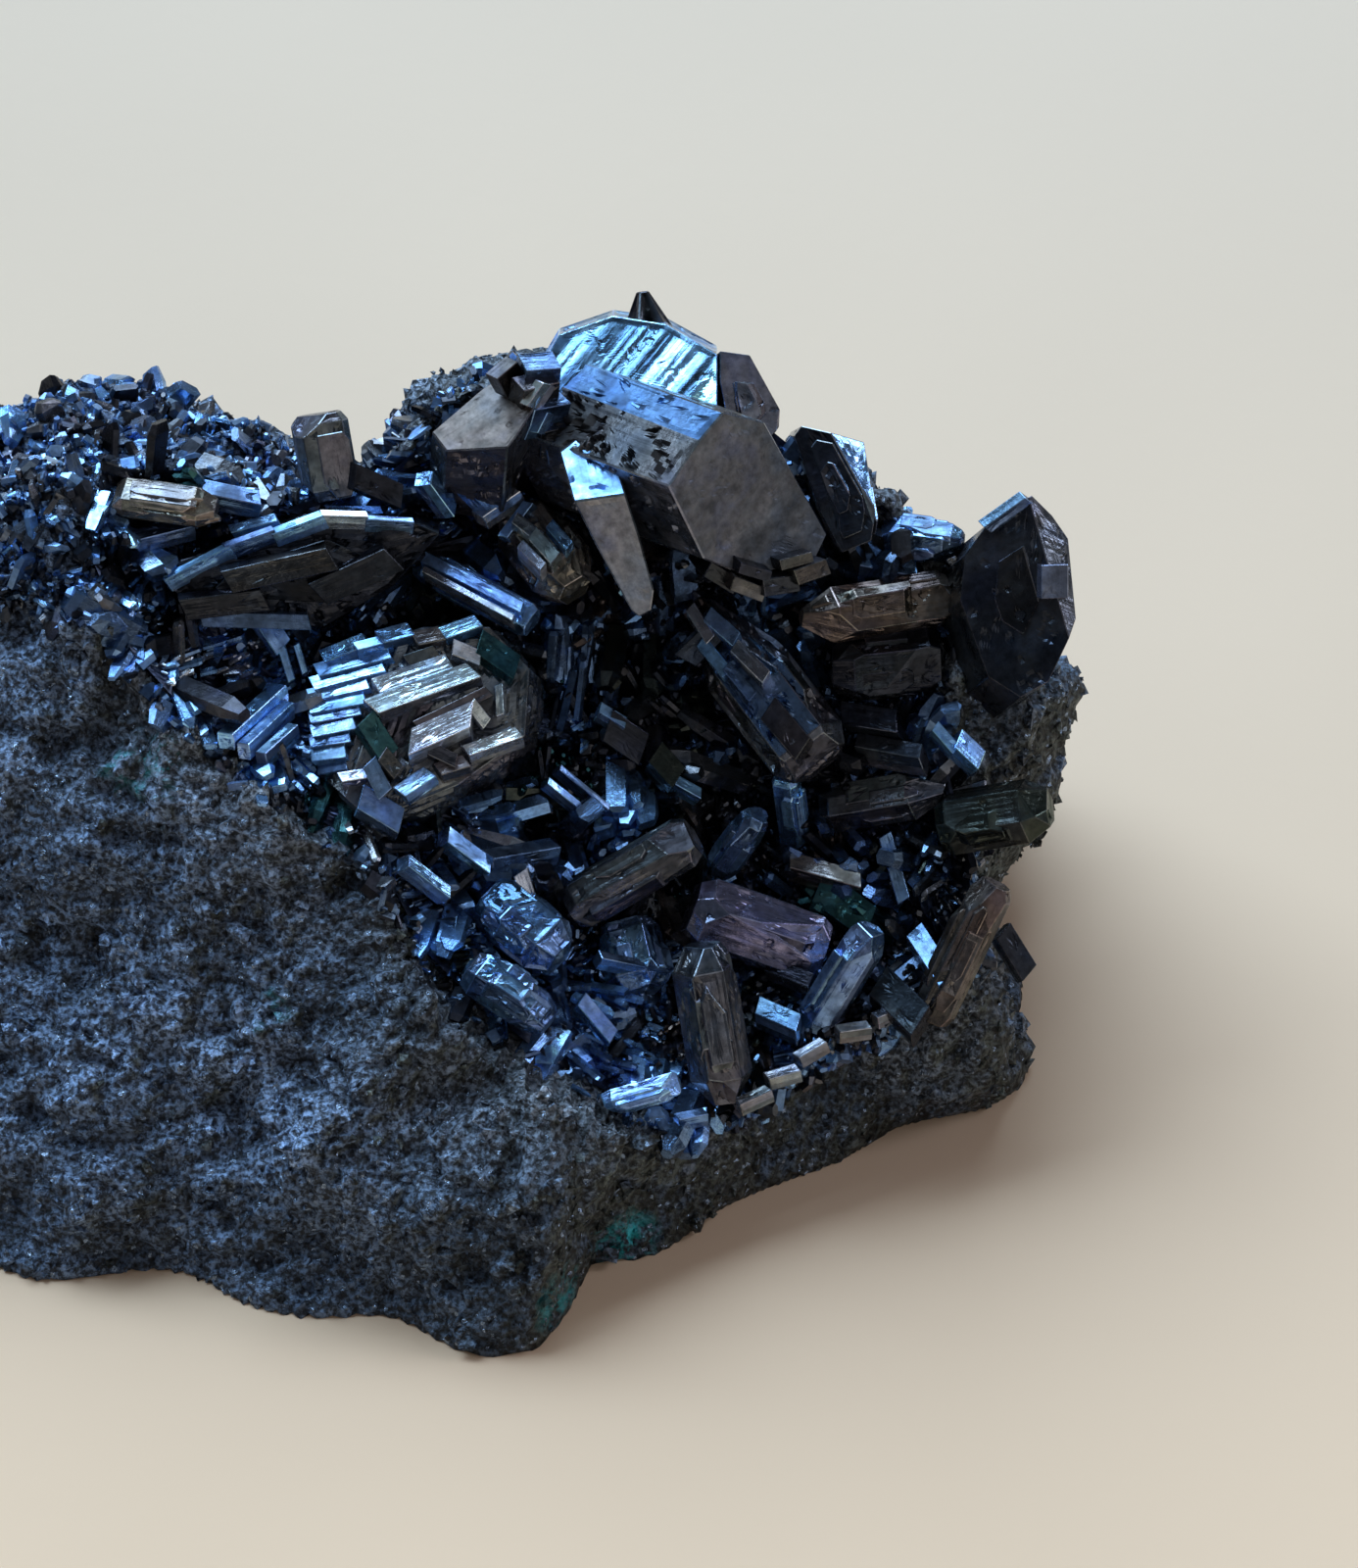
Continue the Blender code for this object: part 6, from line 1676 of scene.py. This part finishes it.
    def thicket(self, tier: Tier, dice: Dice) -> Thicket:
        """Small crystals in seeded places, each taking its direction, size and colour from the nearest family."""
        rim = np.array(VUG.rim)
        roots = dice.uniform(rim.min(0), rim.max(0), size=(tier.count * 3, 2))
        roots = roots[VUG.inside(*roots.T) > tier.margin][:tier.count]
        count, families = len(roots), tier.families
        centres = dice.uniform(rim.min(0), rim.max(0), size=(families, 2))
        nearest = np.argmin(((roots[:, None] - centres[None]) ** 2).sum(-1), axis=1)
        lean, turn = dice.uniform(*tier.lean, size=families), dice.uniform(0, 2 * math.pi, size=families)
        family = np.column_stack([np.sin(lean) * np.cos(turn), np.sin(lean) * np.sin(turn), np.cos(lean)])
        along = unit(family[nearest] + dice.normal(size=(count, 3)) * 0.14)
        lit = dice.uniform(size=families) < self.sunlit(*centres.T) * tier.bright
        towards = np.where(lit[:, None], np.array(SKY) + dice.normal(size=(families, 3)) * 0.16,
                           dice.normal(size=(families, 3)) + (0.2, -0.2, 0.5))
        across_light = np.cross(unit(towards), dice.normal(size=(families, 3)))
        across_light *= np.where(across_light[:, 2:] < 0.0, -1.0, 1.0)
        flashing = unit(across_light)[nearest] + dice.normal(size=(count, 3)) * 0.1
        along = unit(np.where(lit[nearest][:, None], flashing, along))
        facing = unit(unit(towards)[nearest] + dice.normal(size=(count, 3)) * 0.07)
        middle, spread = tier.length
        size = dice.normal(0.0, spread, size=families)[nearest] + dice.normal(0.0, spread * 0.5, size=count)
        length = middle * np.exp(np.minimum(size, 0.6))
        width = np.clip(length * dice.uniform(*tier.slim, size=families)[nearest], 0.22, 2.6)
        near = VUG.crust(*roots.T) - 0.35 * tier.sunk + dice.uniform(-0.3, 0.5, size=count) * tier.sunk
        # Painted reflection: families turned to the window take BRIGHT, STEEL and PALE, the others darker colours, so
        # the lit ones are lighter copies of the same tarnish.
        lit_tones = Tarnish.table("BRIGHT", "STEEL", "PALE")
        dark_tones = Tarnish.table("STEEL", "GUNMETAL", "SOOT", "BRONZE", "OLIVE", "TEAL")
        tones = np.where(lit[:, None], lit_tones[dice.choice(3, size=families, p=(0.5, 0.42, 0.08))],
                         dark_tones[dice.choice(6, size=families, p=(0.28, 0.24, 0.34, 0.07, 0.04, 0.03))])
        shade = tones[nearest] * dice.uniform(0.7, 1.25, (count, 1))
        return Thicket(np.column_stack([roots, near]), along, facing, length, width,
                       width * dice.uniform(0.35, 0.85, size=count), shade, dice.uniform(0.0, 0.25, size=count))

    def clear_of(self, thicket: Thicket, standing: tuple[StandingCrystal, ...]) -> Array:
        """Which small crystals stay out of the view of the large ones, but for a narrow border."""
        clear = np.ones(len(thicket.roots), bool)
        for form in (form for crystal in standing for form in crystal.forms):
            for share in (0.0, 0.35, 0.7, 1.0):
                spot = thicket.roots + thicket.along * (thicket.length * share)[:, None]
                clear &= form.front(spot[:, 0], spot[:, 1], 0.35 if share < 0.5 else 0.95) == BESIDE
        return clear


@dataclass
class MoundDruse:
    """Sparkling small crystals on the rock round the vug's rim and over the mound at its upper left.

    Attributes:
        counts: Crystals on the mound and along the rim.
        sizes: Their middle lengths there.
        seed: Which scatter.
    """

    counts: tuple[int, int] = (2600, 1300)
    sizes: Pair = (0.85, 1.0)
    seed: int = 77

    def build(self, look: Material, block: MatrixBlock) -> None:
        """Scatters them over the rock's own surface points."""
        dice = np.random.default_rng(self.seed)
        across, up, near = block.skin_points.T
        inside = VUG.inside(across, up)
        outer = (inside < 0.4) & (near > -14.0)
        mound = outer & (inside > -9.0) & (across < -13.0) & (up > 50.0)
        rim = outer & (inside > -1.3)
        # BRIGHT among these colours is painted reflection of the window light.
        tones = Tarnish.table("STEEL", "GUNMETAL", "SOOT", "BRIGHT")
        for name, region, count, size in zip(("mound_druse", "rim_druse"), (mound, rim), self.counts, self.sizes):
            chosen = dice.choice(np.flatnonzero(region), size=count)
            along = unit(block.skin_normals[chosen] * 0.7 + dice.normal(size=(count, 3)) * 0.7)
            length = np.clip(np.exp(dice.normal(math.log(size), 0.45, size=count)), 0.35, 2.6)
            width = length * dice.uniform(0.35, 1.0, size=count)
            shade = tones[dice.choice(4, size=count, p=(0.38, 0.22, 0.26, 0.14))] * dice.uniform(0.7, 1.2, (count, 1))
            roots = block.skin_points[chosen] - along * length[:, None] * 0.35 + dice.normal(size=(count, 3)) * 0.1
            thicket = Thicket(roots, along, dice.normal(size=(count, 3)), length, width,
                              width * dice.uniform(0.3, 0.7, size=count), shade, dice.uniform(0.0, 0.4, size=count))
            attach(thicket.piece(name, look, dice), "crust")


@dataclass
class Studio:
    """The pale table, the soft lights and the camera.

    Attributes:
        distance: From the camera to the middle of the display face, in metres.
        frame_height: What the picture's height shows at that distance, in millimetres.
        aim: Display point in the middle of the picture.
        sensor: Camera sensor's height, in millimetres.
        table: Colour of the table in front.
        far_table: Colour of the table behind.
    """

    distance: float = 1.2
    frame_height: float = 106.67
    aim: Triple = (6.2, 39.0, 0.0)
    sensor: float = 36.0
    table: Colour = colour(0.73, 0.51, 0.345)
    far_table: Colour = colour(0.6, 0.465, 0.355)

    def direction(self, across: float, up: float, near: float) -> Array:
        """A display direction in row axes."""
        return unit(DISPLAY.axes @ np.array((across, up, near)))

    def aimed(self, thing: bpy.types.Object, towards: Array, distance: float, target: Array) -> None:
        """Puts a light or camera out along a direction, looking back at the target."""
        thing.location = Vector(target + towards * distance)
        thing.rotation_euler = Vector(towards).to_track_quat("Z", "Y").to_euler()
        bpy.context.scene.collection.objects.link(thing)

    def camera(self) -> None:
        """A long lens that looks straight at the display face."""
        lens = bpy.data.cameras.new("camera")
        lens.sensor_fit = "VERTICAL"
        lens.sensor_height = self.sensor
        lens.lens = self.sensor * self.distance / (self.frame_height * MM)
        lens.clip_end = 20.0
        camera = bpy.data.objects.new("camera", lens)
        self.aimed(camera, self.direction(0.0, 0.0, 1.0), self.distance, DISPLAY.place(np.array(self.aim)))
        bpy.context.scene.camera = camera

    def lights(self) -> None:
        """A large blue soft light behind and above, a weak warm one in front and a small blue one at the right."""
        target = DISPLAY.place(np.array(self.aim))
        for name, towards, distance, size, power, tint in (
                ("window_light", (-0.3, 0.95, 0.16), 1.2, (1.5, 0.95), 35.0, (0.56, 0.78, 1.0)),
                ("room_light", (0.4, -0.05, 0.9), 1.7, (1.6, 1.6), 3.2, (1.0, 0.95, 0.9)),
                ("side_light", (0.85, 0.45, 0.25), 0.8, (0.22, 0.3), 1.4, (0.8, 0.85, 1.0))):
            lamp = bpy.data.lights.new(name, "AREA")
            lamp.shape = "RECTANGLE"
            lamp.size, lamp.size_y = size
            lamp.energy = power
            lamp.color = tint
            self.aimed(bpy.data.objects.new(name, lamp), self.direction(*towards), distance, target)
        world = bpy.data.worlds.new("room")
        world.use_nodes = True
        glow = world.node_tree.nodes["Background"].inputs
        glow["Color"].default_value = colour(0.62, 0.66, 0.74)
        glow["Strength"].default_value = 0.15
        bpy.context.scene.world = world
        bpy.context.scene.view_settings.view_transform = "Standard"

    def floor(self) -> None:
        """The plain pale table top."""
        bench = ShaderBench("table_top")
        place = bench.place()
        tone = bench.span(bench.noise(place, 9.0, 2.0), 0.3, 0.7, 0.94, 1.05)
        split = bench.add("ShaderNodeSeparateXYZ", {0: place})
        far = bench.span(split.outputs["Y"], -0.05, 0.11, 0.0, 1.0)
        body = bench.blend(1.0, bench.blend(far, self.table, self.far_table), tone, "MULTIPLY")
        look = bench.finish(body, 0.85, 0.0, bench.relief(bench.noise(place, 500.0), 0.00002), 0.15)
        corners = np.array([(-3.0, -3.0, 0.0), (3.0, -3.0, 0.0), (3.0, 3.0, 0.0), (-3.0, 3.0, 0.0)])
        table = make_piece("table", corners, [np.array([(0, 1, 2, 3)])], look)

    def build(self) -> None:
        """Sets the stage."""
        self.camera()
        self.lights()
        self.floor()


def main() -> None:
    """Builds the specimen and its stage in order."""
    logging.basicConfig(level=logging.INFO, format="%(name)s %(message)s")
    Studio().build()
    LOG.info("stage set")
    soot_and_shade = SootyFinish().material()
    lustre = LustreFinish("lustrous_faces").material()
    druse = LustreFinish("lustrous_druse", groove=0.00002, smear=0.7).material()
    block = MatrixBlock()
    block.build(soot_and_shade)
    standing = standing_crystals()
    for number, crystal in enumerate(standing):
        crystal.build(lustre, number + 1)
    accents = FacetSheets()
    accents.add_plates(accent_plates(), VUG.crust, 4001)
    attach(accents.piece("accent_crystals", lustre), "steel_crystal")
    VugCrust().build(druse, standing)
    MoundDruse().build(druse, block)


if __name__ == "__main__":
    main()
